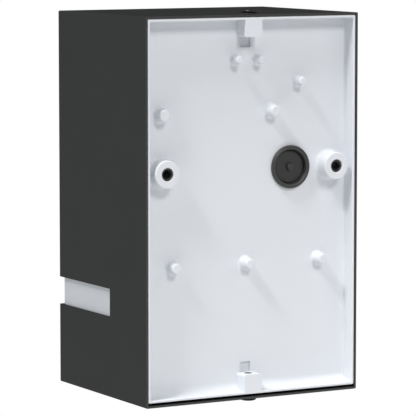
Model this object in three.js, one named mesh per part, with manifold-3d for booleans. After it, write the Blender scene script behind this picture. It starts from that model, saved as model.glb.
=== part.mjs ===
// Outdoor wall light: a folded metal cover with a light slot round its front and sides, over a moulded
// base that screws to the wall. The base carries the light box, the driver and the connector block.
// Millimetres. Origin midway between the two wall-screw holes, in the wall plane; +Z up, front faces -Y,
// +X to the right of someone who faces the front.
import * as THREE from 'three';
import { mergeVertices } from 'three/addons/utils/BufferGeometryUtils.js';
import Module from 'manifold-3d';

const wasm = await Module();
wasm.setup();

// ---------------------------------------------------------------- driving dimensions

const WIDTH = 110;
const DEPTH = 86;
const HEIGHT = 174;
const SHEET = 1; // cover sheet
const WALL_HOLE_RISE = 104; // wall-screw holes above the cover's lowest face
const SIDE = WIDTH / 2;
const FRONT = -DEPTH;
const TOP = HEIGHT - WALL_HOLE_RISE;
const BOTTOM = -WALL_HOLE_RISE;

const SLOT_BOTTOM = BOTTOM + 36.8;
const SLOT_TOP = SLOT_BOTTOM + 12.9;
const SLOT_BACK = -35; // the slot's ends, on the two sides

const FIT = 0.1; // gap between flat faces that rest on each other
const RIM = 1.25; // wall of the base's rim
const RIM_SIDE = SIDE - SHEET - FIT;
const RIM_TOP = TOP - SHEET - FIT;
const RIM_BOTTOM = BOTTOM + SHEET + 1.1; // a drain gap stays open under the base
const RIM_FRONT = -12;
const FLOOR_BACK = -7.5;
const FLOOR_FRONT = -9.5;
const PEG_TIP = -2; // how near the blind screw bosses come to the wall

const WALL_HOLE_X = 43.95;
const WALL_HOLE_RADIUS = 2.95;
const WALL_BOSS_RADIUS = 6.2;
const WALL_BOSS_FRONT = -13;
const WALL_CUP = { radius: 5, floor: -2 }; // each wall boss is a cup that holds the screw's head
const WALL_SEAL = { bore: 2.1, sleeve: 2.75, flange: 4.8, back: -0.4, front: -4 };

const COVER_SCREW_Y = -4.7;
const COVER_SCREW_BOSS = { halfWidth: 4.4, length: 7.8, bore: 2.05 };
const POCKET = { halfWidth: 2.6, length: 4.8, depth: 1.2 }; // moulding pocket beside each cover-screw boss

const GROMMET_X = -23.3;
const GROMMET_HOLE = 8.8;

// Blind screw bosses of the base: place, rear peg radius, front boss radius and face, pilot bore.
const LIGHT_BOX_BOSSES = [-38.2, 0, 38.2].map((x) => (
  { x, z: -42.7, peg: 2.5, boss: 3.6, front: -15.5, bore: 1.2 }));
const DRIVER_BOSSES = [
  { x: -13, z: 26, peg: 2.75, boss: 3.6, front: -13.5, bore: 1.2 },
  { x: 44.1, z: 26, peg: 2.9, boss: 3.6, front: -13.5, bore: 1.2 },
];
const CONNECTOR_BOSSES = [-5.8, 5.8].map((x) => (
  { x, z: 49.5, peg: 2, boss: 2.9, front: -12.5, bore: 0.95 }));
const CLAMP_BOSS = { x: -27.2, z: 39.2, peg: 2.1, boss: 3, front: -14.5, bore: 1.2 };
const BOSSES = [...LIGHT_BOX_BOSSES, ...DRIVER_BOSSES, ...CONNECTOR_BOSSES, CLAMP_BOSS];

// Light box behind the slot.
const OPAL_GAP = 0.54; // between the cover's inner face and the diffuser
const OPAL = 2;
const OPAL_SIDE = SIDE - SHEET - OPAL_GAP;
const OPAL_FRONT = FRONT + SHEET + OPAL_GAP;
const OPAL_BACK = -30;
const OPAL_TOP = -50;
const OPAL_BOTTOM = -72;
const GASKET = 1.5;
const PLATE = 1.5; // bracket sheet
const SHELF_BOTTOM = OPAL_TOP + GASKET + 2 * FIT;
const SHELF_TOP = SHELF_BOTTOM + PLATE;
const SHELF_SIDE = 53.2;
const SHELF_FRONT = -84.2;
const UPRIGHT_BACK = LIGHT_BOX_BOSSES[0].front - FIT;
const UPRIGHT_FRONT = UPRIGHT_BACK - PLATE;
const UPRIGHT_TOP = -36.5;
const CORNER_SCREWS = [[-48.8, -80], [48.8, -80], [-48.8, -34.6], [48.8, -34.6]];
const BOARD = { side: 44, back: -42.3, front: -76, thick: 1.6 };
const PAD_TOP = SHELF_BOTTOM - FIT;
const PAD_BOTTOM = PAD_TOP - 0.5;
const BOARD_TOP = PAD_BOTTOM - FIT;
const BOARD_BOTTOM = BOARD_TOP - BOARD.thick;
const WIRE_GROMMET = { x: 34.75, y: -37.6, spread: 1.75 };
const EARTH_SCREW_X = 20;

// Driver: origin midway between its two screws, on the boss faces.
const DRIVER_AT = [15.55, DRIVER_BOSSES[0].front - FIT, 26];
const DRIVER = { half: 23, low: -17, high: 8, wall: 1.6, rim: -18.5 };

// Connector block: origin midway between its two screws, on the boss faces.
const CONNECTOR_AT = [0, CONNECTOR_BOSSES[0].front - FIT, 49.5];
const CONNECTOR = { half: 17, tall: 10, deep: 15 };
const POLES = [['live', -11.6], ['neutral', 0], ['earth', 11.6]];
const LEVER = { half: 2.7, hub: 2.2, reach: 12.5, y: -12.4, z: 4.5, pivot: 0.9 };

const ROUND = 24; // sides of a round piece, by how large it is
const MEDIUM = 16;
const COARSE = 12;

// ---------------------------------------------------------------- finishes

const finish = (color, roughness, metalness = 0, extra = {}) => (
  new THREE.MeshStandardMaterial({ color, roughness, metalness, ...extra }));
const FINISHES = {
  coat: () => finish(0x393a39, 0.62, 0.1),
  moulding: () => finish(0xe2e5e8, 0.5),
  rubber: () => finish(0x2e2f2e, 0.85),
  blackScrew: () => finish(0x1b1b1c, 0.4, 0.6),
  zinc: () => finish(0xb8bcc0, 0.35, 0.9),
  opal: () => finish(0xe9ecee, 0.3, 0, { transparent: true, opacity: 0.92 }),
  aluminium: () => finish(0xc4c7ca, 0.45, 0.9),
  silicone: () => finish(0x8d9296, 0.8),
  circuit: () => finish(0xf1f2ee, 0.5),
  phosphor: () => finish(0xe8c84a, 0.4),
  reflector: () => finish(0xf7f7f5, 0.35),
  driverBlack: () => finish(0x222426, 0.55),
  greenBoard: () => finish(0x2c6e45, 0.5),
  yellowTape: () => finish(0xd9b13a, 0.5),
  sleeveBlue: () => finish(0x24303f, 0.4),
  connectorGrey: () => finish(0xb9bec2, 0.35),
  leverOrange: () => finish(0xe0701c, 0.4),
  brass: () => finish(0xc19a45, 0.35, 0.9),
  nylon: () => finish(0xd8d8d2, 0.6),
  wireBrown: () => finish(0x6a3c1e, 0.5),
  wireBlue: () => finish(0x2456a8, 0.5),
  wireEarth: () => finish(0x5f9a34, 0.5),
  wireRed: () => finish(0xb02320, 0.5),
  wireBlack: () => finish(0x1d1d1f, 0.5),
};

// ---------------------------------------------------------------- solids

function solidOf(geometry) {
  const bare = geometry.clone();
  for (const name of Object.keys(bare.attributes)) if (name !== 'position') bare.deleteAttribute(name);
  const merged = mergeVertices(bare, 1e-4);
  const points = merged.attributes.position.array;
  const corners = merged.index.array;
  const faces = [];
  let volume = 0;
  const a = new THREE.Vector3();
  const b = new THREE.Vector3();
  const c = new THREE.Vector3();
  for (let i = 0; i < corners.length; i += 3) {
    const [p, q, r] = [corners[i], corners[i + 1], corners[i + 2]];
    if (p === q || q === r || r === p) continue;
    a.fromArray(points, 3 * p);
    b.fromArray(points, 3 * q);
    c.fromArray(points, 3 * r);
    volume += a.dot(b.cross(c));
    faces.push([p, q, r]);
  }
  const outward = volume < 0 ? faces.map(([p, q, r]) => [p, r, q]) : faces;
  return new wasm.Manifold(new wasm.Mesh({
    numProp: 3,
    vertProperties: new Float32Array(points),
    triVerts: new Uint32Array(outward.flat()),
  }));
}

function geometryOf(solid) {
  const mesh = solid.getMesh();
  const geometry = new THREE.BufferGeometry();
  geometry.setAttribute('position', new THREE.BufferAttribute(mesh.vertProperties, 3));
  geometry.setIndex(new THREE.BufferAttribute(mesh.triVerts, 1));
  geometry.computeVertexNormals();
  return geometry;
}

const join = (first, ...rest) => rest.reduce((whole, more) => whole.add(more), first);
const cut = (first, ...rest) => rest.reduce((whole, tool) => whole.subtract(tool), first);

// A box between two limits on each axis.
function block([x0, x1], [y0, y1], [z0, z1]) {
  const geometry = new THREE.BoxGeometry(x1 - x0, y1 - y0, z1 - z0);
  geometry.translate((x0 + x1) / 2, (y0 + y1) / 2, (z0 + z1) / 2);
  return solidOf(geometry);
}

// Turns a shape that stands along +Y so that it stands along the named axis.
function alignTo(geometry, axis) {
  if (axis === 'z') geometry.rotateX(Math.PI / 2);
  if (axis === 'x') geometry.rotateZ(-Math.PI / 2);
  return geometry;
}

// A round bar or cone along an axis, between two places on it. The place gives the axis line.
function rod(axis, place, [from, to], radius, { end = radius, sides = ROUND } = {}) {
  const geometry = new THREE.CylinderGeometry(end, radius, to - from, sides);
  geometry.translate(0, (from + to) / 2, 0);
  alignTo(geometry, axis);
  geometry.translate(...place);
  return solidOf(geometry);
}

// A turned piece along an axis: profile points are [radius, distance along the axis].
function turned(axis, profile, sides = ROUND) {
  const points = profile.map(([radius, along]) => new THREE.Vector2(radius, along));
  return solidOf(alignTo(new THREE.LatheGeometry(points, sides), axis));
}

// A flat outline in X and Y, pulled up from one height to another.
function pulledUp(outline, [low, high]) {
  const shape = new THREE.Shape(outline.map(([x, y]) => new THREE.Vector2(x, y)));
  const geometry = new THREE.ExtrudeGeometry(shape, { depth: high - low, bevelEnabled: false });
  geometry.translate(0, 0, low);
  return solidOf(geometry);
}

// A round wire along a smooth route.
function wire(route, radius, steps) {
  const sides = 8;
  const ring = Array.from({ length: sides }, (_, i) => {
    const turn = (2 * Math.PI * i) / sides;
    return new THREE.Vector2(radius * Math.cos(turn), radius * Math.sin(turn));
  });
  const extrudePath = new THREE.CatmullRomCurve3(route.map((p) => new THREE.Vector3(...p)), false, 'centripetal');
  return solidOf(new THREE.ExtrudeGeometry(new THREE.Shape(ring), { steps, extrudePath }));
}

// A pan-head screw whose head's seat is at 0 and whose shank runs to minus its length.
function panScrew(axis, { head, height, shank, length }, sides = COARSE) {
  return turned(axis, [
    [0, height], [0.8 * head, 0.8 * height], [head, 0.3 * height], [head, 0],
    [shank, 0], [shank, -length + shank], [0, -length],
  ], sides);
}

function crossRecess(axis, height, reach, depth) {
  const across = [-0.45, 0.45];
  const along = [-reach, reach];
  const deep = [height - depth, height + 1];
  if (axis === 'y') return join(block(along, deep, across), block(across, deep, along));
  return join(block(along, across, deep), block(across, along, deep));
}

// ---------------------------------------------------------------- the assembly

const lamp = new THREE.Group();

function piece(parent, name, solid, finishName, place = [0, 0, 0]) {
  const mesh = new THREE.Mesh(geometryOf(solid), FINISHES[finishName]());
  mesh.name = name;
  mesh.position.set(...place);
  parent.add(mesh);
  return mesh;
}

function assembly(place) {
  const group = new THREE.Group();
  group.position.set(...place);
  lamp.add(group);
  return group;
}

// Cover: five folded sides, open at the wall, with the light slot and the two screw holes.
function addCover() {
  const past = 1;
  const shell = cut(
    block([-SIDE, SIDE], [FRONT, 0], [BOTTOM, TOP]),
    block([SHEET - SIDE, SIDE - SHEET], [FRONT + SHEET, past], [BOTTOM + SHEET, TOP - SHEET]),
    block([-SIDE - past, SIDE + past], [FRONT - past, SLOT_BACK], [SLOT_BOTTOM, SLOT_TOP]),
    rod('z', [0, COVER_SCREW_Y, 0], [BOTTOM - past, TOP + past], 2.3),
  );
  piece(lamp, 'cover', shell, 'coat');
}

// One blind screw boss: a tapered peg behind the floor, a boss in front of it and its pilot bore.
function screwBoss({ x, z, peg, boss, front }) {
  const place = [x, 0, z];
  const rootRadius = peg + 0.25;
  return join(
    rod('y', place, [FLOOR_FRONT, PEG_TIP], rootRadius, { end: peg, sides: MEDIUM }),
    rod('y', place, [front, FLOOR_BACK - 0.5], boss, { sides: MEDIUM }),
  );
}

function addBase() {
  const inside = [RIM - RIM_SIDE, RIM_SIDE - RIM];
  const insideTall = [RIM_BOTTOM + RIM, RIM_TOP - RIM];
  const half = COVER_SCREW_BOSS.halfWidth;
  const bossTop = [insideTall[1] - COVER_SCREW_BOSS.length, RIM_TOP - RIM / 2];
  const bossBottom = [RIM_BOTTOM + RIM / 2, insideTall[0] + COVER_SCREW_BOSS.length];
  const pocketSides = [-POCKET.halfWidth, POCKET.halfWidth];
  const pocketDepth = [FLOOR_BACK - POCKET.depth, FLOOR_BACK + 1];
  const tray = cut(
    block([-RIM_SIDE, RIM_SIDE], [RIM_FRONT, 0], [RIM_BOTTOM, RIM_TOP]),
    block(inside, [FLOOR_BACK, 1], insideTall),
    block(inside, [RIM_FRONT - 1, FLOOR_FRONT], insideTall),
    block(pocketSides, pocketDepth, [bossTop[0] - POCKET.length, bossTop[0] + 1]),
    block(pocketSides, pocketDepth, [bossBottom[1] - 1, bossBottom[1] + POCKET.length]),
  );
  const wallBosses = [-WALL_HOLE_X, WALL_HOLE_X].map((x) => (
    rod('y', [x, 0, 0], [WALL_BOSS_FRONT, 0], WALL_BOSS_RADIUS)));
  const coverScrewBosses = [bossTop, bossBottom].map((tall) => (
    block([-half, half], [FLOOR_FRONT, 0], tall)));
  const solid = join(tray, ...wallBosses, ...coverScrewBosses, ...BOSSES.map(screwBoss));
  const wallHoles = [-WALL_HOLE_X, WALL_HOLE_X].flatMap((x) => [
    rod('y', [x, 0, 0], [WALL_BOSS_FRONT - 1, 1], WALL_HOLE_RADIUS),
    rod('y', [x, 0, 0], [WALL_BOSS_FRONT - 1, WALL_CUP.floor], WALL_CUP.radius),
  ]);
  const pilots = BOSSES.map(({ x, z, front, bore }) => (
    rod('y', [x, 0, z], [front - 1, PEG_TIP - 2], bore, { sides: COARSE })));
  const coverScrewBore = (tall) => (
    rod('z', [0, COVER_SCREW_Y, 0], tall, COVER_SCREW_BOSS.bore));
  const base = cut(
    solid,
    ...wallHoles,
    ...pilots,
    coverScrewBore([bossTop[0] - 1, RIM_TOP + 1]),
    coverScrewBore([RIM_BOTTOM - 1, bossBottom[1] + 1]),
    rod('y', [GROMMET_X, 0, 0], [FLOOR_FRONT - 1, FLOOR_BACK + 1], GROMMET_HOLE),
  );
  piece(lamp, 'mounting_base', base, 'moulding');
}

// Rubber seals in the wall bosses: a sleeve in the hole and a flange under the wall screw's head.
function addWallSeals() {
  const { bore, sleeve, flange, back, front } = WALL_SEAL;
  const seat = WALL_CUP.floor - FIT;
  for (const [side, x] of [['left', -WALL_HOLE_X], ['right', WALL_HOLE_X]]) {
    const seal = turned('y', [
      [bore, back], [bore, front], [flange, front], [flange, seat], [sleeve, seat], [sleeve, back], [bore, back],
    ]);
    piece(lamp, `wall_seal_${side}`, seal, 'rubber', [x, 0, 0]);
  }
}

// Blind cable grommet: a raised ring round a thin membrane with a piercing nub, and a collar in front.
function addCableGrommet() {
  const seat = FLOOR_BACK + FIT;
  const neck = GROMMET_HOLE - 0.2;
  const frontSeat = FLOOR_FRONT - FIT;
  const grommet = turned('y', [
    [0, -6.4], [1.6, -6.4], [1.85, -7.9], [7.4, -7.9], [7.5, -8.6], [7.9, -8.6], [8.05, -6.3],
    [8.9, -5.5], [9.9, -6.2], [9.9, seat], [neck, seat], [neck, frontSeat],
    [9.6, frontSeat], [9.6, -10.6], [6.6, -11.4], [5.2, -14.5], [4.2, -14.5],
    [6.2, -9.6], [0, -9.6],
  ]);
  piece(lamp, 'cable_grommet', grommet, 'rubber', [GROMMET_X, 0, 0]);
}

// Cover screws, each with its captive washer. Outward is +1 at the top and -1 at the bottom.
function addCoverScrews() {
  const washerThick = 0.3;
  const height = 0.95;
  const places = [['top', TOP, 1, 10], ['bottom', BOTTOM, -1, 11.6]];
  for (const [name, face, outward, length] of places) {
    const place = [0, COVER_SCREW_Y, face];
    const seat = outward * (washerThick + 2 * FIT);
    const washer = turned('z', [
      [2.15, FIT], [3.75, FIT], [3.75, FIT + washerThick], [2.15, FIT + washerThick], [2.15, FIT],
    ]);
    const screw = cut(
      panScrew('z', { head: 3.6, height, shank: 1.9, length }, ROUND),
      crossRecess('z', height, 1.7, 0.6),
    );
    const flip = (solid) => (outward > 0 ? solid : solid.mirror([0, 0, 1]));
    piece(lamp, `cover_washer_${name}`, flip(washer), 'rubber', place);
    piece(lamp, `cover_screw_${name}`, flip(screw), 'blackScrew', [0, COVER_SCREW_Y, face + seat]);
  }
}

const SMALL_SCREW = { head: 2.7, height: 1.8, shank: 1, length: 8 };
const TINY_SCREW = { head: 2, height: 1.6, shank: 0.8, length: 10.5 };

// A screw that points away from the front, head seat at the given place.
function addRearwardScrew(parent, name, place, size) {
  const screw = panScrew('y', size).mirror([0, 1, 0]);
  piece(parent, name, screw, 'zinc', [place[0], place[1] - FIT, place[2]]);
}

function addLightBox() {
  const past = 1;
  const grommetHole = 3.6;
  const bracket = cut(
    join(
      block([-SHELF_SIDE, SHELF_SIDE], [SHELF_FRONT, UPRIGHT_BACK], [SHELF_BOTTOM, SHELF_TOP]),
      block([-46, 46], [UPRIGHT_FRONT, UPRIGHT_BACK], [SHELF_BOTTOM, UPRIGHT_TOP]),
    ),
    ...LIGHT_BOX_BOSSES.map(({ x, z }) => (
      rod('y', [x, 0, z], [UPRIGHT_FRONT - past, UPRIGHT_BACK + past], 1.5, { sides: COARSE }))),
    ...CORNER_SCREWS.map(([x, y]) => (
      rod('z', [x, y, 0], [SHELF_BOTTOM - past, SHELF_TOP + past], 1.5, { sides: COARSE }))),
    rod('z', [WIRE_GROMMET.x, WIRE_GROMMET.y, 0], [SHELF_BOTTOM - past, SHELF_TOP + past], grommetHole),
    rod('y', [EARTH_SCREW_X, 0, -42.7], [UPRIGHT_FRONT - past, UPRIGHT_BACK + past], 1.6, { sides: COARSE }),
  );
  piece(lamp, 'light_bracket', bracket, 'aluminium');
  for (const [i, { x, z }] of LIGHT_BOX_BOSSES.entries()) {
    addRearwardScrew(lamp, `bracket_screw_${i + 1}`, [x, UPRIGHT_FRONT, z], SMALL_SCREW);
  }
  addDiffuser();
  addLeds();
  addWireGrommet(grommetHole);
  addEarthParts();
}

// Opal box, open at the top, with a short screw post in each corner, its gasket and its four screws.
function addDiffuser() {
  const inner = OPAL_SIDE - OPAL;
  const hollow = [[-inner, inner], [OPAL_FRONT + OPAL, OPAL_BACK - OPAL], [OPAL_BOTTOM + OPAL, OPAL_TOP + 1]];
  const posts = CORNER_SCREWS.map(([x, y]) => (
    rod('z', [x, y, 0], [OPAL_TOP - 6.5, OPAL_TOP], 3.1, { sides: COARSE })));
  const pilots = CORNER_SCREWS.map(([x, y]) => (
    rod('z', [x, y, 0], [OPAL_TOP - 5.5, OPAL_TOP + 1], 1.2, { sides: COARSE })));
  const box = cut(
    block([-OPAL_SIDE, OPAL_SIDE], [OPAL_FRONT, OPAL_BACK], [OPAL_BOTTOM, OPAL_TOP]),
    block(...hollow),
  );
  piece(lamp, 'diffuser', cut(join(box, ...posts), ...pilots), 'opal');

  const seal = [OPAL_TOP + FIT, SHELF_BOTTOM - FIT];
  const lobe = 7.4;
  const outer = [SHELF_SIDE, SHELF_FRONT, OPAL_BACK - 0.2];
  const frame = cut(
    block([-outer[0], outer[0]], [outer[1], outer[2]], seal),
    block([3 - outer[0], outer[0] - 3], [outer[1] + 3, outer[2] - 3], [seal[0] - 1, seal[1] + 1]),
  );
  const lobes = CORNER_SCREWS.map(([x, y]) => {
    const right = x > 0 ? [outer[0] - lobe, outer[0]] : [-outer[0], lobe - outer[0]];
    const far = y < -60 ? [outer[1], outer[1] + lobe] : [outer[2] - lobe, outer[2]];
    return block(right, far, seal);
  });
  const holes = CORNER_SCREWS.map(([x, y]) => (
    rod('z', [x, y, 0], [seal[0] - 1, seal[1] + 1], 1.4, { sides: COARSE })));
  piece(lamp, 'diffuser_gasket', cut(join(frame, ...lobes), ...holes), 'silicone');

  for (const [i, [x, y]] of CORNER_SCREWS.entries()) {
    const screw = panScrew('z', { ...SMALL_SCREW, length: 7.5 });
    piece(lamp, `diffuser_screw_${i + 1}`, screw, 'zinc', [x, y, SHELF_TOP + FIT]);
  }

  const floor = OPAL_BOTTOM + OPAL + FIT;
  const wide = inner - 0.4;
  const near = OPAL_BACK - OPAL - 0.4;
  const far = OPAL_FRONT + OPAL + 0.4;
  const ridge = solidOf(new THREE.ExtrudeGeometry(
    new THREE.Shape([[far + 4, 0.5], [far + 20, 4.5], [near - 20, 4.5], [near - 4, 0.5]].map((p) => (
      new THREE.Vector2(...p)))),
    { depth: 2 * (wide - 5), bevelEnabled: false },
  ).rotateX(Math.PI / 2).rotateZ(Math.PI / 2).translate(5 - wide, 0, floor));
  const tray = join(block([-wide, wide], [far, near], [floor, floor + 0.8]), ridge);
  piece(lamp, 'reflector', tray, 'reflector');
}

// LED board under the shelf, with a thermal pad behind it and its diodes along three edges.
function addLeds() {
  const { side, back, front } = BOARD;
  piece(lamp, 'thermal_pad', block([0.5 - side, side - 0.5], [front + 0.5, back - 0.5],
    [PAD_BOTTOM, PAD_TOP]), 'silicone');
  piece(lamp, 'led_board', block([-side, side], [front, back], [BOARD_BOTTOM, BOARD_TOP]), 'circuit');
  const inset = 4;
  const places = [
    ...[-36, -12, 12, 36].map((x) => [x, front + inset]),
    ...[-side + inset, side - inset].flatMap((x) => [-60, -48].map((y) => [x, y])),
  ];
  for (const [i, [x, y]] of places.entries()) {
    const diode = block([-1.75, 1.75], [-1.4, 1.4], [-0.8, 0]);
    piece(lamp, `led_${i + 1}`, diode, 'phosphor', [x, y, BOARD_BOTTOM - FIT]);
  }
}

// Rubber grommet that seals the two LED wires where they pass through the shelf.
function addWireGrommet(hole) {
  const { x, y, spread } = WIRE_GROMMET;
  const neck = hole - 0.2;
  const top = SHELF_TOP + FIT;
  const under = SHELF_BOTTOM - FIT;
  const turnedGrommet = turned('z', [
    [0, under - 0.8], [3.9, under - 0.8], [3.9, under], [neck, under], [neck, top], [4.6, top],
    [4.6, top + 0.9], [3.6, top + 1.5], [0, top + 1.5],
  ], MEDIUM);
  const wireHoles = [-spread, spread].map((dx) => (
    rod('z', [dx, 0, 0], [under - 2, top + 3], 1.1, { sides: COARSE })));
  piece(lamp, 'wire_grommet', cut(turnedGrommet, ...wireHoles), 'rubber', [x, y, 0]);
}

// Earth tag and screw on the bracket, and the leaf spring that bonds the cover to it.
function addEarthParts() {
  const seat = UPRIGHT_FRONT - FIT;
  const z = -42.7;
  const thick = 0.8;
  const tag = cut(
    join(
      rod('y', [0, 0, 0], [-thick, 0], 3.3, { sides: MEDIUM }),
      block([-1.6, 1.6], [-thick, 0], [0, 5]),
      block([-1.9, 1.9], [-3.6, 0], [4.6, 9]),
    ),
    rod('y', [0, 0, 0], [-2, 1], 1.7, { sides: COARSE }),
    rod('z', [0, -1.8, 0], [5.4, 10], 1.35, { sides: COARSE }),
  );
  piece(lamp, 'earth_tag', tag, 'brass', [EARTH_SCREW_X, seat, z]);
  addRearwardScrew(lamp, 'earth_screw', [EARTH_SCREW_X, seat - thick, z], { ...SMALL_SCREW, shank: 1.4, length: 5 });
  const leaf = 0.4;
  const spring = pulledUp([
    [41.5, 0], [48, 0], [53.3, -5], [52, -10], [52 + leaf, -10.1], [53.3 + leaf, -5],
    [48.3, leaf * 0.4], [48.3, leaf], [41.5, leaf],
  ].map(([x, y]) => [x, y + seat - leaf]), [-41, -37]);
  piece(lamp, 'cover_earth_spring', spring, 'brass');
}

// Driver: a small case with two ears, its lid, its circuit board, transformer and capacitor.
function addDriver() {
  const group = assembly(DRIVER_AT);
  const { half, low, high, wall, rim } = DRIVER;
  const screwX = (DRIVER_BOSSES[1].x - DRIVER_BOSSES[0].x) / 2;
  const wallHole = (x, z) => rod('x', [0, -12, z], [x - 2, x + 2], 1.5, { sides: COARSE });
  const shell = cut(
    join(
      block([-half, half], [rim, 0], [low, high]),
      block([-screwX - 4.5, screwX + 4.5], [-2.5, 0], [-5, 5]),
    ),
    block([wall - half, half - wall], [rim - 1, -wall], [low + wall, high - wall]),
    ...[-screwX, screwX].map((x) => rod('y', [x, 0, 0], [-4, 1], 1.5, { sides: COARSE })),
    wallHole(-half, -4), wallHole(-half, -9), wallHole(half, -8), wallHole(half, -13),
  );
  const ribs = [-15, 15].map((x) => block([x - 1, x + 1], [-3.9, -wall / 2], [low + wall / 2, high - wall / 2]));
  piece(group, 'driver_case', join(shell, ...ribs), 'driverBlack');
  const lip = 0.3;
  const lidSeat = rim - FIT;
  const lipOuter = [[wall + lip - half, half - wall - lip], [low + wall + lip, high - wall - lip]];
  const lid = join(
    block([-half, half], [lidSeat - 1.5, lidSeat], [low, high]),
    cut(
      block(lipOuter[0], [lidSeat - 0.5, lidSeat + 1.6], lipOuter[1]),
      block(lipOuter[0].map((x) => x - Math.sign(x)), [lidSeat, lidSeat + 3],
        [lipOuter[1][0] + 1, lipOuter[1][1] - 1]),
    ),
  );
  piece(group, 'driver_lid', lid, 'driverBlack');
  piece(group, 'driver_board', block([-20.5, 20.5], [-5.2, -4], [low + 2.5, high - 2.5]), 'greenBoard');
  piece(group, 'driver_transformer', block([2, 16], [-14.5, -5.3], [-11, 2]), 'yellowTape');
  piece(group, 'driver_capacitor', rod('x', [0, -10, -1], [-17, -5], 4, { sides: MEDIUM }), 'sleeveBlue');
  for (const [i, x] of [-screwX, screwX].entries()) {
    addRearwardScrew(group, `driver_screw_${i + 1}`, [x, -2.5, 0], SMALL_SCREW);
  }
}

// Connector block: three poles, each with a lever on the front, a contact inside and wire ports.
function addConnector() {
  const group = assembly(CONNECTOR_AT);
  const { half, tall, deep } = CONNECTOR;
  const screws = CONNECTOR_BOSSES.map(({ x }) => x);
  const wellFloor = -4;
  const cuts = screws.flatMap((x) => [
    rod('y', [x, 0, 0], [-deep - 1, wellFloor], 2.25, { sides: MEDIUM }),
    rod('y', [x, 0, 0], [wellFloor - 1, 1], 1.2, { sides: COARSE }),
  ]);
  const clear = 0.3;
  for (const [, x] of POLES) {
    const pocket = [x - LEVER.half - clear, x + LEVER.half + clear];
    cuts.push(
      block(pocket, [-deep - 1, LEVER.y + 0.2], [-tall - 1, LEVER.z + LEVER.hub + 0.4]),
      rod('x', [0, LEVER.y, LEVER.z], pocket, LEVER.hub + 0.4, { sides: MEDIUM }),
      rod('x', [0, LEVER.y, LEVER.z], [x - 4.3, x + 4.3], LEVER.pivot + 0.3, { sides: COARSE }),
      rod('z', [x, -6, 0], [-tall - 1, 0], 1.7, { sides: COARSE }),
      rod('z', [x, -6, 0], [0, tall + 1], 2.1, { sides: COARSE }),
      block([x - 2.5, x + 2.5], [-8.3, -3.7], [-2.2, 2.2]),
    );
  }
  const body = cut(block([-half, half], [-deep, 0], [-tall, tall]), ...cuts);
  piece(group, 'connector_body', body, 'connectorGrey');
  for (const [name, x] of POLES) {
    piece(group, `lever_${name}`, leverSolid(), 'leverOrange', [x, LEVER.y, LEVER.z]);
    piece(group, `contact_${name}`, block([-2.1, 2.1], [-1.9, 1.9], [-1.6, 1.6]), 'brass', [x, -6, 0]);
  }
  for (const [i, x] of screws.entries()) {
    addRearwardScrew(group, `connector_screw_${i + 1}`, [x, wellFloor, 0], TINY_SCREW);
  }
}

// A lever about its own pivot line: hub, arm hanging down in front of the line, and two pivot studs.
function leverSolid() {
  const { half, hub, reach, pivot } = LEVER;
  return join(
    rod('x', [0, 0, 0], [-half, half], hub, { sides: MEDIUM }),
    block([-half, half], [-hub, -0.4], [-reach, 0]),
    block([1 - half, half - 1], [-hub - 0.9, -hub + 0.4], [-reach, -reach + 2.5]),
    rod('x', [0, 0, 0], [-4, 4], pivot, { sides: COARSE }),
  );
}

// Cable clamp: a nylon loop for the supply cable, on a tab under one screw.
function addCableClamp() {
  const { x, z, front } = CLAMP_BOSS;
  const seat = front - FIT;
  const loop = { x: x - 9.5, y: seat - 1.6, inner: 4.1, outer: 5.5 };
  const tall = [z - 4, z + 4];
  const clamp = cut(
    join(
      rod('z', [loop.x, loop.y, 0], tall, loop.outer),
      block([loop.x, x + 4], [seat - 2, seat], tall),
    ),
    rod('z', [loop.x, loop.y, 0], [z - 9, z + 9], loop.inner),
    rod('y', [x, 0, z], [seat - 5, seat + 5], 1.5, { sides: COARSE }),
  );
  piece(lamp, 'cable_clamp', clamp, 'nylon');
  addRearwardScrew(lamp, 'clamp_screw', [x, seat - 2, z], SMALL_SCREW);
}

// Inner wires, each whole from the connector block or the driver to where it ends.
const WIRES = [
  { name: 'live_wire', finish: 'wireBrown', radius: 1.2, route: [
    [-11.6, -18.6, 42.5], [-11.6, -18.6, 37], [-12, -21, 30], [-12.3, -24.6, 24.2], [-10.2, -25.6, 22],
    [-4, -25.6, 22]] },
  { name: 'neutral_wire', finish: 'wireBlue', radius: 1.2, route: [
    [0, -18.6, 42.5], [0, -18.8, 38.6], [-3.4, -21.8, 36.9], [-8.6, -26.2, 36], [-11.6, -29, 30],
    [-12.4, -28.8, 21], [-10.4, -25.9, 17.1], [-4, -25.6, 17]] },
  { name: 'earth_wire', finish: 'wireEarth', radius: 1.2, route: [
    [11.6, -18.6, 42.5], [11.6, -19, 38.9], [11.9, -24, 37.2], [12.5, -32, 37.2], [13, -38, 34],
    [13.6, -38.6, 24], [14.6, -37.4, 6], [16.5, -32, -10], [19, -23.5, -23], [20, -19.2, -31],
    [20, -19, -33.5], [20, -19, -36.6]] },
  { name: 'led_wire_positive', finish: 'wireRed', radius: 0.8, route: [
    [35, -25.6, 18], [40.4, -25.6, 17.8], [42, -26, 11], [37.6, -27, 2.5], [34.6, -28, -9],
    [34.8, -31, -25], [36.2, -36, -38], [36.5, -37.6, -44], [36.5, -37.6, -49.6], [36.5, -39.4, -51.8],
    [36.5, -43.8, -52]] },
  { name: 'led_wire_negative', finish: 'wireBlack', radius: 0.8, route: [
    [35, -25.6, 13], [39.6, -25.2, 12.4], [39.8, -22.6, 7.6], [35.6, -21.8, 0.4], [31.6, -24.6, -9],
    [31.2, -30, -25], [32.6, -36, -38], [33, -37.6, -44], [33, -37.6, -49.6], [33, -39.4, -51.8],
    [33, -43.8, -52]] },
];

function addWires() {
  for (const { name, finish: finishName, radius, route } of WIRES) {
    piece(lamp, name, wire(route, radius, 2 * route.length), finishName);
  }
}

addCover();
addBase();
addWallSeals();
addCableGrommet();
addCoverScrews();
addLightBox();
addDriver();
addConnector();
addCableClamp();
addWires();

export default lamp;
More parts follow.
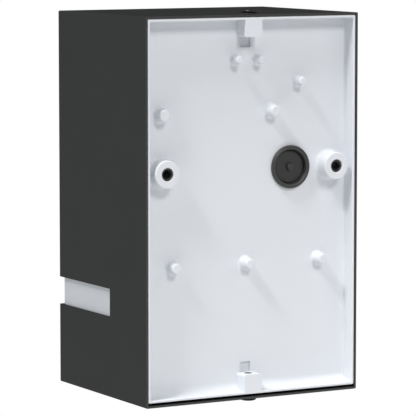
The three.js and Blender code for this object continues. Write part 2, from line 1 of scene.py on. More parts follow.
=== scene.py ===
"""Outdoor wall light, seen from the wall side: cover, moulded base, light box and wiring."""
import math

import bmesh
import bpy
from mathutils import Matrix, Vector


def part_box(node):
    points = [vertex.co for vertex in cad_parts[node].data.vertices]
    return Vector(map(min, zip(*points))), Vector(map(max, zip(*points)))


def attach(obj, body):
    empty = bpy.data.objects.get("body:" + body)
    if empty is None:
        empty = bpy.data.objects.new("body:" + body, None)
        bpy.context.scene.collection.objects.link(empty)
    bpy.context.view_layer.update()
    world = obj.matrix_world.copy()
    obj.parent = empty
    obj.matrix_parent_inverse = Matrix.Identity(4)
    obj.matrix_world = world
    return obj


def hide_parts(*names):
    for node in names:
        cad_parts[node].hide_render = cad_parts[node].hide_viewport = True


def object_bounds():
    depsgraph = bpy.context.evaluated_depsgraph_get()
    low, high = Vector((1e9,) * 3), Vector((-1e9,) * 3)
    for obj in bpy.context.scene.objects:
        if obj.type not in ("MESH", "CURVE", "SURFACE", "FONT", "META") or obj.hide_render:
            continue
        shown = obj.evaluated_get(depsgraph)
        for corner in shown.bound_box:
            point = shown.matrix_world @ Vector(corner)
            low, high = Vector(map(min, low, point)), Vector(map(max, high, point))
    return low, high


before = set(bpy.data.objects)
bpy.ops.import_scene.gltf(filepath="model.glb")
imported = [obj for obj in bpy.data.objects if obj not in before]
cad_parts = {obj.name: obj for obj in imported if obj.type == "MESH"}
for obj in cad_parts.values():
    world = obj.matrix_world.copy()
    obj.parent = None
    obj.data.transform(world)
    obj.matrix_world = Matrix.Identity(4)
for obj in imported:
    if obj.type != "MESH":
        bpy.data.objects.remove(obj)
cad_bounds = [list(corner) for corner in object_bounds()]

MM = 0.001  # lengths below are in millimetres unless a name says otherwise


def limits(node):
    """A node's lowest and highest corners at rest, in millimetres."""
    low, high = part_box(node)
    return Vector(low) / MM, Vector(high) / MM


# ---------------------------------------------------------------- camera, light and floor

CAMERA_PLACE = Vector((0.64275, 1.09871, 0.11885))  # metres
CAMERA_HEADING = math.radians(209.402)  # clockwise from +Y, seen from above
CAMERA_DROP = math.radians(6.095)
LENS = 245.89
FLOOR_DROP = 0.25  # metres from the light's lowest point to the floor
FLOOR_RADIUS = 1.15  # metres
AMBIENT = 0.13
AMBIENT_COLOUR = (1.0, 0.975, 0.88, 1)

# Distant lights: name, direction to it, strength, softness in degrees.
SUNS = [
    ("raking_key", (0.60, 0.17, 0.78), 0.52, 9),
    ("upper_fill", (0.0, 0.80, 0.60), 0.355, 15),
    ("top_soft", (0.40, 0.06, 0.91), 0.42, 12),
    ("soft_side", (-0.6, 0.6, 0.5), 0.10, 25),
    ("soft_back", (0.0, 1.0, 0.1), 0.07, 25),
    ("cover_side", (0.98, -0.18, 0.0), 0.57, 20),
    ("front_light", (-0.55, -0.83, -0.03), 0.75, 20),
    ("low_light", (-0.55, -0.20, -0.81), 0.30, 30),
]


def make_camera():
    data = bpy.data.cameras.new("camera")
    data.lens = LENS
    data.sensor_width = 36
    data.clip_end = 100
    camera = bpy.data.objects.new("camera", data)
    camera.location = CAMERA_PLACE
    camera.rotation_euler = (math.radians(90) - CAMERA_DROP, 0, -CAMERA_HEADING)
    bpy.context.scene.collection.objects.link(camera)
    bpy.context.scene.camera = camera


def sun(name, towards, strength, softness):
    """A distant light in the direction towards; strength 1 lights a square-on white face to 1."""
    data = bpy.data.lights.new(name, "SUN")
    data.energy = strength * math.pi
    data.angle = math.radians(softness)
    lamp = bpy.data.objects.new(name, data)
    lamp.rotation_euler = (-Vector(towards)).to_track_quat("-Z", "Y").to_euler()
    bpy.context.scene.collection.objects.link(lamp)


def make_studio():
    scene = bpy.context.scene
    scene.view_settings.view_transform = "Standard"
    world = bpy.data.worlds.new("studio")
    scene.world = world
    world.use_nodes = True
    tree = world.node_tree
    soft_light = tree.nodes["Background"]
    soft_light.inputs["Color"].default_value = AMBIENT_COLOUR
    soft_light.inputs["Strength"].default_value = AMBIENT
    backdrop = tree.nodes.new("ShaderNodeBackground")
    backdrop.inputs["Color"].default_value = (1, 1, 1, 1)
    seen = tree.nodes.new("ShaderNodeLightPath")
    either = tree.nodes.new("ShaderNodeMixShader")
    tree.links.new(seen.outputs["Is Camera Ray"], either.inputs[0])
    tree.links.new(soft_light.outputs[0], either.inputs[1])
    tree.links.new(backdrop.outputs[0], either.inputs[2])
    tree.links.new(either.outputs[0], tree.nodes["World Output"].inputs["Surface"])
    for light in SUNS:
        sun(*light)
    floor_height = cad_bounds[0][2] - FLOOR_DROP
    bm = bmesh.new()
    bmesh.ops.create_circle(bm, cap_ends=True, segments=96, radius=FLOOR_RADIUS)
    bmesh.ops.translate(bm, vec=(0, 0, floor_height), verts=bm.verts)
    mesh = bpy.data.meshes.new("floor")
    bm.to_mesh(mesh)
    bm.free()
    floor = bpy.data.objects.new("floor", mesh)
    scene.collection.objects.link(floor)
    finish = Finish("floor_paint", colour=(0.90, 0.90, 0.90), roughness=0.8)
    floor.data.materials.append(finish.material)


# ---------------------------------------------------------------- shader expressions

class Value:
    """A node output that can be used in arithmetic; each operation adds a Math node."""

    def __init__(self, finish, socket):
        self.finish = finish
        self.socket = socket

    def _math(self, operation, *operands):
        return self.finish.node("ShaderNodeMath", {"operation": operation}, dict(enumerate(operands)))

    def __add__(self, other):
        return self._math("ADD", self, other)

    __radd__ = __add__

    def __mul__(self, other):
        return self._math("MULTIPLY", self, other)

    __rmul__ = __mul__

    def __sub__(self, other):
        return self._math("SUBTRACT", self, other)

    def __rsub__(self, other):
        return self._math("SUBTRACT", other, self)

    def __truediv__(self, other):
        return self._math("DIVIDE", self, other)

    def clamp(self, low=0.0, high=1.0):
        return self._math("MAXIMUM", self._math("MINIMUM", self, high), low)


class Finish:
    """A Principled material whose varying values are fed by expressions."""

    def __init__(self, name, colour, roughness, **constants):
        self.material = bpy.data.materials.new(name)
        self.material.use_nodes = True
        self.tree = self.material.node_tree
        self.shader = self.tree.nodes["Principled BSDF"]
        self.colour = colour
        self.set("Base Color", (*colour, 1))
        self.set("Roughness", roughness)
        for socket, value in constants.items():
            self.set(socket.replace("_", " "), value)

    def set(self, socket, value):
        self.shader.inputs[socket].default_value = value

    def node(self, kind, settings=None, inputs=None, output=0):
        node = self.tree.nodes.new(kind)
        for key, value in (settings or {}).items():
            setattr(node, key, value)
        for key, value in (inputs or {}).items():
            if isinstance(value, Value):
                self.tree.links.new(value.socket, node.inputs[key])
            else:
                node.inputs[key].default_value = value
        return Value(self, node.outputs[output])

    def feed(self, socket, value):
        self.tree.links.new(value.socket, self.shader.inputs[socket])

    def place(self):
        return self.node("ShaderNodeTexCoord", output="Object")

    def axis(self, index):
        """One coordinate of the place on the piece, in metres: 0, 1 or 2 for X, Y or Z."""
        return self.node("ShaderNodeSeparateXYZ", inputs={0: self.place()}, output=index)

    def noise(self, size, detail=2.0, stretch=None):
        """Noise from 0 to 1 whose features are about that many millimetres across."""
        place = self.place()
        if stretch:
            place = self.node("ShaderNodeVectorMath", {"operation": "MULTIPLY"}, {0: place, 1: stretch})
        return self.node("ShaderNodeTexNoise", inputs={
            "Vector": place, "Scale": 1 / (size * MM), "Detail": detail})

    def mix(self, factor, first, second):
        def colour(value):
            return value if isinstance(value, Value) else (*value, 1)
        return self.node("ShaderNodeMix", {"data_type": "RGBA"}, {
            0: factor, 6: colour(first), 7: colour(second)}, output=2)

    def shade(self, size, depth):
        """Base colour that drifts by that share, over patches of that size."""
        darker = tuple(c * (1 - depth) for c in self.colour)
        lighter = tuple(min(1, c * (1 + depth)) for c in self.colour)
        self.feed("Base Color", self.mix(self.noise(size, 3.0), darker, lighter))

    def relief(self, height, distance):
        """Bump from a height expression, with that many millimetres between its 0 and 1."""
        self.feed("Normal", self.node("ShaderNodeBump", inputs={
            "Strength": 1.0, "Distance": distance * MM, "Height": height}))


# ---------------------------------------------------------------- finishes

MATT = {"Specular_IOR_Level": 0.2}
SILICONE = (0.6, (3, 0.08), (0.5, 0.25, 0.7), (0.02, 0.4, 3), {"Specular_IOR_Level": 0.3})
SHEATH = (0.4, (2.2, 0.10), (0.32, 0.16, 0.8), (0.012, 0.5, 3), {})

# Evenly textured finishes: colour, roughness, drift (size, share), gloss (least, range, size, detail),
# relief (depth, size, detail) and any other shader values. A detail left out is 2.
TEXTURED = {
    # Lighter coat for the cover's rear-facing edges: a painted sheen, not a different coating.
    "painted_edge_sheen_coat": (
        (0.050, 0.052, 0.051), 0.6, (12, 0.08), (0.52, 0.16, 0.8), (0.02, 0.42, 3), MATT),
    "white_moulded_plastic": (
        (0.738, 0.762, 0.806), 0.5, (18, 0.012), (0.42, 0.12, 1.2), (0.010, 0.3, 3), MATT),
    "black_grommet_rubber": (
        (0.041, 0.043, 0.042), 0.6, (5, 0.18), (0.34, 0.16, 0.9), (0.015, 0.25, 4),
        {"Specular_IOR_Level": 0.4}),
    "black_plated_steel": (
        (0.007, 0.007, 0.0075), 0.5, (1.5, 0.25), (0.42, 0.2, 0.6), (0.006, 0.3),
        {"Specular_IOR_Level": 0.05}),
    "opal_diffuser": (
        (0.360, 0.375, 0.400), 0.35, (25, 0.01), (0.30, 0.08, 2), (0.006, 0.5),
        {**MATT, "Subsurface_Weight": 0.2, "Subsurface_Radius": (1.0, 1.0, 1.0),
         "Subsurface_Scale": 0.001}),
    "gloss_white_paint": (
        (0.86, 0.86, 0.85), 0.3, (14, 0.02), (0.18, 0.14, 1.5, 3), (0.010, 0.9, 3), {}),
    "tinned_pads": (
        (0.72, 0.72, 0.70), 0.25, (0.8, 0.12), (0.18, 0.25, 0.3, 3), (0.02, 0.5), {"Metallic": 1.0}),
    "diode_package": (
        (0.80, 0.80, 0.77), 0.45, (1.0, 0.05), (0.38, 0.15, 0.2), (0.003, 0.12, 3), {}),
    "phosphor_gel": (
        (0.82, 0.56, 0.09), 0.15, (0.25, 0.16), (0.12, 0.1, 0.3), (0.004, 0.6), {"Coat_Weight": 0.5}),
    "driver_black_plastic": (
        (0.020, 0.021, 0.023), 0.55, (8, 0.12), (0.48, 0.2, 0.5, 3), (0.02, 0.22, 4),
        {"Specular_IOR_Level": 0.35}),
    "ferrite_and_epoxy": (
        (0.035, 0.034, 0.036), 0.5, (0.9, 0.3), (0.4, 0.3, 0.4, 3), (0.015, 0.18, 4), {}),
    "connector_grey_plastic": (
        (0.47, 0.50, 0.53), 0.25, (4, 0.04), (0.18, 0.14, 1.0), (0.008, 0.8, 3),
        {"Subsurface_Weight": 0.15, "Subsurface_Scale": 0.001}),
    "lever_orange_plastic": (
        (0.76, 0.165, 0.012), 0.3, (2.5, 0.05), (0.24, 0.16, 0.6), (0.006, 0.2, 3), {}),
    "natural_nylon": (
        (0.66, 0.645, 0.58), 0.45, (3, 0.04), (0.38, 0.16, 0.7), (0.012, 0.35, 3),
        {"Subsurface_Weight": 0.2, "Subsurface_Scale": 0.001}),
    "seal_silicone_grey": ((0.27, 0.29, 0.31), *SILICONE),
    "gap_pad_grey": ((0.33, 0.36, 0.42), *SILICONE),
    "wire_brown_sheath": ((0.145, 0.050, 0.018), *SHEATH),
    "wire_blue_sheath": ((0.018, 0.095, 0.36), *SHEATH),
    "wire_earth_sheath": ((0.055, 0.26, 0.035), *SHEATH),
    "wire_red_sheath": ((0.42, 0.016, 0.014), *SHEATH),
    "wire_black_sheath": ((0.014, 0.014, 0.015), *SHEATH),
    "earth_stripe_yellow": ((0.72, 0.56, 0.03), *SHEATH),
}


def textured(name):
    colour, roughness, drift, gloss, relief, others = TEXTURED[name]
    finish = Finish(name, colour, roughness, **others)
    finish.shade(*drift)
    least, spread, *pattern = gloss
    finish.feed("Roughness", least + spread * finish.noise(*pattern))
    depth, *pattern = relief
    finish.relief(finish.noise(*pattern), depth)
    return finish


def powder_coat():
    finish = Finish("anthracite_powder_coat", (0.0280, 0.0295, 0.0288), 0.75, Specular_IOR_Level=0.0)
    finish.shade(30, 0.05)
    finish.feed("Roughness", 0.70 + 0.16 * finish.noise(0.8))
    finish.relief(finish.noise(0.42, detail=3) + 0.4 * finish.noise(1.6), 0.035)
    return finish


def zinc_steel():
    finish = Finish("zinc_plated_steel", (0.60, 0.62, 0.65), 0.3, Metallic=1.0)
    finish.feed("Base Color", finish.mix(finish.noise(1.4, 3), (0.52, 0.55, 0.60), (0.68, 0.67, 0.62)))
    finish.feed("Roughness", 0.24 + 0.22 * finish.noise(0.35, 4))
    finish.relief(finish.noise(0.12, detail=3), 0.004)
    return finish


def mill_aluminium():
    """Sheet with the mill's fine lines along its length and a few dull patches."""
    finish = Finish("mill_finish_aluminium", (0.74, 0.75, 0.77), 0.35, Metallic=1.0)
    lines = finish.noise(0.25, 4, stretch=(0.02, 1.0, 1.0))
    patches = finish.noise(9, 3)
    finish.feed("Base Color", finish.mix(patches, (0.66, 0.67, 0.69), (0.80, 0.81, 0.82)))
    finish.feed("Roughness", 0.22 + 0.2 * lines + 0.12 * patches)
    finish.relief(lines, 0.006)
    return finish


def board_mask(name, colour):
    """Solder mask over copper: broad lighter tracks, slightly raised, with dark gaps between them."""
    finish = Finish(name, colour, 0.35)
    cells = finish.node("ShaderNodeTexVoronoi", {"distance": "CHEBYCHEV"}, {
        "Vector": finish.place(), "Scale": 1 / (3.6 * MM), "Randomness": 0.6})
    copper = ((0.62 - cells) * 14).clamp()
    gap = tuple(c * 0.72 for c in colour)
    finish.feed("Base Color", finish.mix(copper, gap, tuple(min(1, c * 1.08) for c in colour)))
    finish.feed("Roughness", 0.26 + 0.16 * finish.noise(0.6))
    finish.relief(copper + 0.15 * finish.noise(0.15, 3), 0.035)
    return finish


def winding_tape():
    """Polyester tape wound in turns, each edge a shallow step."""
    finish = Finish("transformer_tape_yellow", (0.74, 0.47, 0.045), 0.3)
    turns = finish.node("ShaderNodeTexWave", {"bands_direction": "Z", "wave_profile": "SAW"}, {
        "Vector": finish.place(), "Scale": 1 / (7.5 * MM), "Distortion": 0.4, "Detail": 2.0}, output=1)
    finish.feed("Base Color", finish.mix(turns, (0.60, 0.35, 0.03), (0.80, 0.54, 0.07)))
    finish.feed("Roughness", 0.2 + 0.18 * finish.noise(0.9))
    finish.relief(turns, 0.03)
    return finish


def shrink_sleeve():
    """Dark blue sleeve with a pale polarity band and no marks."""
    finish = Finish("capacitor_sleeve_blue", (0.016, 0.030, 0.080), 0.2)
    across = finish.axis(2)
    band = ((across - 26.4 * MM) / (0.3 * MM)).clamp()
    finish.feed("Base Color", finish.mix(band, (0.016, 0.030, 0.080), (0.50, 0.52, 0.56)))
    finish.feed("Roughness", 0.16 + 0.12 * finish.noise(1.2))
    finish.relief(finish.noise(1.6, 3), 0.02)
    return finish


def plain_brass():
    finish = Finish("rolled_brass", (0.74, 0.50, 0.19), 0.3, Metallic=1.0)
    finish.feed("Base Color", finish.mix(finish.noise(1.8, 4), (0.62, 0.40, 0.14), (0.82, 0.60, 0.26)))
    finish.feed("Roughness", 0.22 + 0.24 * finish.noise(0.5, 3))
    finish.relief(finish.noise(0.1, 3, stretch=(1.0, 1.0, 0.15)), 0.004)
    return finish


def bare_copper():
    """Fine strands: thin lines along the bared end."""
    finish = Finish("copper_strands", (0.78, 0.34, 0.16), 0.3, Metallic=1.0)
    strands = finish.noise(0.16, 2, stretch=(1.0, 1.0, 0.1))
    finish.feed("Base Color", finish.mix(strands, (0.48, 0.17, 0.07), (0.86, 0.42, 0.22)))
    finish.feed("Roughness", 0.25 + 0.2 * strands)
    finish.relief(strands, 0.05)
    return finish


# ---------------------------------------------------------------- mesh making

ROUND = 64


def arc(centre, radius, start, end, steps=5):
    """Points of an arc in a turned profile; angles in degrees from the outward radius."""
    points = []
    for i in range(steps + 1):
        angle = math.radians(start + (end - start) * i / steps)
        points.append((centre[0] + radius * math.cos(angle), centre[1] + radius * math.sin(angle)))
    return points


def temporary(bm, name="work"):
    """A linked work object from a bmesh in millimetres; its own mesh is in metres."""
    bmesh.ops.scale(bm, vec=(MM, MM, MM), verts=bm.verts)
    bmesh.ops.recalc_face_normals(bm, faces=bm.faces)
    mesh = bpy.data.meshes.new(name)
    bm.to_mesh(mesh)
    bm.free()
    work = bpy.data.objects.new(name, mesh)
    bpy.context.scene.collection.objects.link(work)
    return work


def slab(low, high, rounding=0.0, along="xyz", steps=3, keep=None):
    """A box between two corners, its edges along the named axes rounded unless keep(middle)."""
    bm = bmesh.new()
    bmesh.ops.create_cube(bm, size=1)
    size = [h - l for l, h in zip(low, high)]
    middle = [(h + l) / 2 for l, h in zip(low, high)]
    bmesh.ops.scale(bm, vec=size, verts=bm.verts)
    bmesh.ops.translate(bm, vec=middle, verts=bm.verts)
    if rounding:
        chosen = []
        for edge in bm.edges:
            span = edge.verts[1].co - edge.verts[0].co
            axis = "xyz"[max(range(3), key=lambda i: abs(span[i]))]
            centre = (edge.verts[1].co + edge.verts[0].co) / 2
            if axis in along and not (keep and keep(centre)):
                chosen.append(edge)
        bmesh.ops.bevel(bm, geom=chosen, offset=rounding, segments=steps, profile=0.5, affect="EDGES")
    return temporary(bm)


AXIS_TURN = {
    "z": Matrix(),
    "y": Matrix.Rotation(math.radians(-90), 4, "X"),
    "x": Matrix.Rotation(math.radians(90), 4, "Y"),
}


def lathe_bmesh(profile, axis, place, steps=ROUND, ripple=None, ring=False):
    """A turned solid. Profile points are (radius, distance along the axis); ring closes it on itself.

    ripple(angle, radius, along) may return another radius, for a thread or a knurl.
    """
    bm = bmesh.new()
    rows = []
    for radius, along in profile:
        if radius < 1e-6:
            rows.append([bm.verts.new((0, 0, along))])
            continue
        row = []
        for j in range(steps):
            angle = 2 * math.pi * j / steps
            r = ripple(angle, radius, along) if ripple else radius
            row.append(bm.verts.new((r * math.cos(angle), r * math.sin(angle), along)))
        rows.append(row)
    pairs = list(zip(rows, rows[1:]))
    if ring:
        pairs.append((rows[-1], rows[0]))
    for lower, upper in pairs:
        for j in range(steps):
            k = (j + 1) % steps
            if len(lower) == 1:
                corners = (lower[0], upper[k], upper[j])
            elif len(upper) == 1:
                corners = (lower[j], lower[k], upper[0])
            else:
                corners = (lower[j], lower[k], upper[k], upper[j])
            bm.faces.new(corners)
    bm.transform(Matrix.Translation(place) @ AXIS_TURN[axis])
    return bm


def turned(profile, axis="z", place=(0, 0, 0), **options):
    return temporary(lathe_bmesh(profile, axis, place, **options))


def bar(axis, place, start, end, radius, end_radius=None, steps=ROUND):
    """A plain round bar or hole cutter along an axis."""
    tip = radius if end_radius is None else end_radius
    return turned([(0, start), (radius, start), (tip, end), (0, end)], axis, place, steps=steps)


def prism(outline, axis, start, end):
    """A straight solid along an axis; outline points are its other two coordinates, in XYZ order."""
    def corner(point, along):
        place = list(point)
        place.insert("xyz".index(axis), along)
        return bm.verts.new(place)

    bm = bmesh.new()
    near = [corner(point, start) for point in outline]
    far = [corner(point, end) for point in outline]
    bm.faces.new(near)
    bm.faces.new(far)
    for i in range(len(outline)):
        k = (i + 1) % len(outline)
        bm.faces.new((near[i], near[k], far[k], far[i]))
    return temporary(bm)


def smooth_path(route, steps=8):
    """Close points on the centripetal curve through a route's points."""
    ends = [2 * route[0] - route[1], *route, 2 * route[-1] - route[-2]]
    points = []
    for p0, p1, p2, p3 in zip(ends, ends[1:], ends[2:], ends[3:]):
        t1 = (p1 - p0).length ** 0.5
        t2 = t1 + (p2 - p1).length ** 0.5
        t3 = t2 + (p3 - p2).length ** 0.5
        for i in range(steps):
            t = t1 + (t2 - t1) * i / steps
            a1 = p0.lerp(p1, t / t1)
            a2 = p1.lerp(p2, (t - t1) / (t2 - t1))
            a3 = p2.lerp(p3, (t - t2) / (t3 - t2))
            b1 = a1.lerp(a2, t / t2)
            b2 = a2.lerp(a3, (t - t1) / (t3 - t1))
            points.append(b1.lerp(b2, (t - t1) / (t2 - t1)))
    return [*points, route[-1]]


def wire_bmesh(path, radius, stripped, sides=16):
    """A sheathed wire, bare at both ends, and (side, bare) for each of its faces in order."""
    lengths = [0.0]
    for start, end in zip(path, path[1:]):
        lengths.append(lengths[-1] + (end - start).length)
    whole = lengths[-1]

    def at(distance):
        i = max(k for k in range(len(path) - 1) if lengths[k] <= distance or k == 0)
        share = (distance - lengths[i]) / (lengths[i + 1] - lengths[i])
        return path[i].lerp(path[i + 1], min(1.0, share)), (path[i + 1] - path[i]).normalized()

    core = 0.55 * radius
    sheathed = stripped + 0.1
    stops = [
        (0.0, core * 0.9), (0.15, core), (stripped, core), (stripped, radius * 0.97), (sheathed, radius)]
    count = int(whole / (1.1 * radius))
    inner = [(sheathed + (whole - 2 * stripped - 0.2) * i / count, radius) for i in range(1, count)]
    stops = stops + inner + [(whole - d, r) for d, r in reversed(stops)]
    bm = bmesh.new()
    rings = []
    _, ahead = at(0.0)
    side_way = ahead.orthogonal().normalized()
    for distance, r in stops:
        centre, heading = at(distance)
        side_way = (side_way - heading * side_way.dot(heading)).normalized()
        other = heading.cross(side_way)
        turn = [2 * math.pi * k / sides for k in range(sides)]
        rings.append([
            bm.verts.new(centre + r * (math.cos(a) * side_way + math.sin(a) * other)) for a in turn])
    sections = []
    for (near, far), (distance, _), (beyond, _) in zip(zip(rings, rings[1:]), stops, stops[1:]):
        bare = beyond <= stripped + 1e-6 or distance >= whole - stripped - 1e-6
        for k in range(sides):
            m = (k + 1) % sides
            bm.faces.new((near[k], near[m], far[m], far[k]))
            sections.append((k, bare))
    for end in (list(reversed(rings[0])), rings[-1]):
        bm.faces.new(end)
        sections.append((0, True))
    return bm, sections


def leaf_outline(route, thick):
    """The outline of a thin leaf that follows a smooth route in X and Y."""
    path = smooth_path(route, 5)
    left, right = [], []
    for i, point in enumerate(path):
        heading = (path[min(i + 1, len(path) - 1)] - path[max(i - 1, 0)]).normalized()
        across = Vector((-heading.y, heading.x, 0)) * thick / 2
        left.append((point + across).xy)
        right.append((point - across).xy)
    return left + right[::-1]


def moved(work, matrix):
    work.data.transform(matrix)
    work.data.update()
    return work


def soften(work, radius, chosen, steps=3):
    """Rounds the edges of a work object whose middles, in millimetres, are chosen."""
    bm = bmesh.new()
    bm.from_mesh(work.data)
    bmesh.ops.dissolve_limit(bm, angle_limit=math.radians(0.5), verts=bm.verts, edges=bm.edges)
    edges = [edge for edge in bm.edges if chosen((edge.verts[0].co + edge.verts[1].co) / (2 * MM))]
    bmesh.ops.bevel(bm, geom=edges, offset=radius * MM, segments=steps, profile=0.5, affect="EDGES")
    bm.to_mesh(work.data)
    bm.free()


def paint(finished, finish, where):
    """Gives another finish to the faces for which where(middle in millimetres, normal) is true."""
    finished.data.materials.append(finish.material)
    index = len(finished.data.materials) - 1
    for face in finished.data.polygons:
        if where(face.center / MM, face.normal):
            face.material_index = index


def built(base, add=(), cut=()):
    """The base work object with the others joined to it and cut from it; the others are used up."""
    for tools, operation in ((add, "UNION"), (cut, "DIFFERENCE")):
        for tool in tools:
            modifier = base.modifiers.new(operation, "BOOLEAN")
            modifier.operation = operation
            modifier.solver = "MANIFOLD"
            modifier.object = tool
    graph = bpy.context.evaluated_depsgraph_get()
    mesh = bpy.data.meshes.new_from_object(base.evaluated_get(graph), depsgraph=graph)
    base.modifiers.clear()
    base.data = mesh
    for tool in (*add, *cut):
        bpy.data.objects.remove(tool)
    return base


def piece(name, work, finish, body, nodes, edge=0.0, smooth=32.0, merge=True):
    """Turns a work object into a finished piece that stands for those CAD nodes."""
    work.name = name
    work.data.name = name
    if merge:
        bm = bmesh.new()
        bm.from_mesh(work.data)
        bmesh.ops.remove_doubles(bm, verts=bm.verts, dist=2e-6)
        bmesh.ops.dissolve_limit(bm, angle_limit=math.radians(0.5), verts=bm.verts, edges=bm.edges)
        bm.to_mesh(work.data)
        bm.free()
    if edge:
        bevel = work.modifiers.new("edges", "BEVEL")
        bevel.width = edge * MM
        bevel.segments = 2
        bevel.limit_method = "ANGLE"
        bevel.angle_limit = math.radians(50)
        bevel.harden_normals = False
        bevel.use_clamp_overlap = True
    work.data.shade_smooth()
    graph = bpy.context.evaluated_depsgraph_get()
    mesh = bpy.data.meshes.new_from_object(work.evaluated_get(graph), depsgraph=graph)
    work.modifiers.clear()
    work.data = mesh
    mesh.name = name
    mesh.shade_smooth()
    mesh.set_sharp_from_angle(angle=math.radians(smooth))
    mesh.materials.clear()
    mesh.materials.append(finish.material)
    normals = work.modifiers.new("even_shading", "WEIGHTED_NORMAL")
    normals.keep_sharp = True
    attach(work, body)
    if nodes:
        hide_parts(*nodes)
    return work


# ---------------------------------------------------------------- cover

SHEET = 1.0
FOLD = 0.55  # outside radius of the cover's folds
SLOT_BOTTOM = -67.2
SLOT_TOP = -54.3
SLOT_BACK = -35.0
COVER_SCREW_Y = -4.7


def make_cover(coat, edge_sheen_coat):
    low, high = limits("cover")
    past = 2.0
    shell = slab(low, high, FOLD, steps=4, keep=lambda middle: middle.y > high.y - 0.01)
    inside_low = (low.x + SHEET, low.y + SHEET, low.z + SHEET)
    inside_high = (high.x - SHEET, high.y + past, high.z - SHEET)
    inside = slab(inside_low, inside_high, 0.15, steps=2)
    slot = slab((low.x - past, low.y - past, SLOT_BOTTOM), (high.x + past, SLOT_BACK, SLOT_TOP),
                0.35, along="x", steps=3)
    screw_hole = bar("z", (0, COVER_SCREW_Y, 0), low.z - past, high.z + past, 2.3)
    shell = built(shell, cut=[inside, slot, screw_hole])
    finished = piece("cover_shell", shell, coat, "fixture", ["cover"], edge=0.1)
    # The rear-facing edge faces of the sheet get a lighter coat: a painted sheen standing for light
    # caught on those edges.
    paint(finished, edge_sheen_coat, lambda at, normal: normal.y > 0.8 and at.y > high.y - 0.3)


# ---------------------------------------------------------------- base

RIM = 1.25
FLOOR_BACK = -7.5
FLOOR_FRONT = -9.5
RIM_FRONT = -12.0
PEG_TIP = -2.0
WALL_HOLE_X = 43.95
WALL_BOSS_FRONT = -13.0
GROMMET_X = -23.3
GROMMET_HOLE = 8.8
GROMMET_NECK = 8.6
COVER_SCREW_BORE = 2.05
BLOCK_HALF = 4.4
BLOCK_LENGTH = 7.8

BRACKET_SCREW_Z = -42.7

# Blind screw bosses: x, z, rear peg radius, front boss radius, front face, pilot radius.
LIGHT_BOX_BOSSES = [(x, BRACKET_SCREW_Z, 2.5, 3.6, -15.5, 1.2) for x in (-38.2, 0.0, 38.2)]
DRIVER_BOSSES = [(-13.0, 26.0, 2.75, 3.6, -13.5, 1.2), (44.1, 26.0, 2.9, 3.6, -13.5, 1.2)]
CONNECTOR_BOSSES = [(x, 49.5, 2.0, 2.9, -12.5, 0.95) for x in (-5.8, 5.8)]
CLAMP_BOSS = (-27.2, 39.2, 2.1, 3.0, -14.5, 1.2)
BOSSES = [*LIGHT_BOX_BOSSES, *DRIVER_BOSSES, *CONNECTOR_BOSSES, CLAMP_BOSS]


def peg_profile(root, tip, foot, top, fillet=0.45, crown=0.35):
    """A tapered peg from inside the floor up to its crowned tip, with a fillet where it stands."""
    return [
        (0, foot - 0.8), (root + fillet, foot - 0.8),
        *arc((root + fillet, foot + fillet), fillet, 270, 180),
        *arc((tip - crown, top - crown), crown, 0, 90),
        (0, top),
    ]


def screw_boss(x, z, peg, boss, front):
    rear = turned(peg_profile(peg + 0.25, peg - 0.1, FLOOR_BACK, PEG_TIP, fillet=1.4, crown=0.8),
                  "y", (x, 0, z), steps=40)
    fore = turned([(r, -a) for r, a in peg_profile(boss + 0.1, boss, -FLOOR_FRONT, -front)],
                  "y", (x, 0, z), steps=32)
    return [rear, fore]


COVE = 4.0  # radius of the fillet between the tray's floor and its lower rim


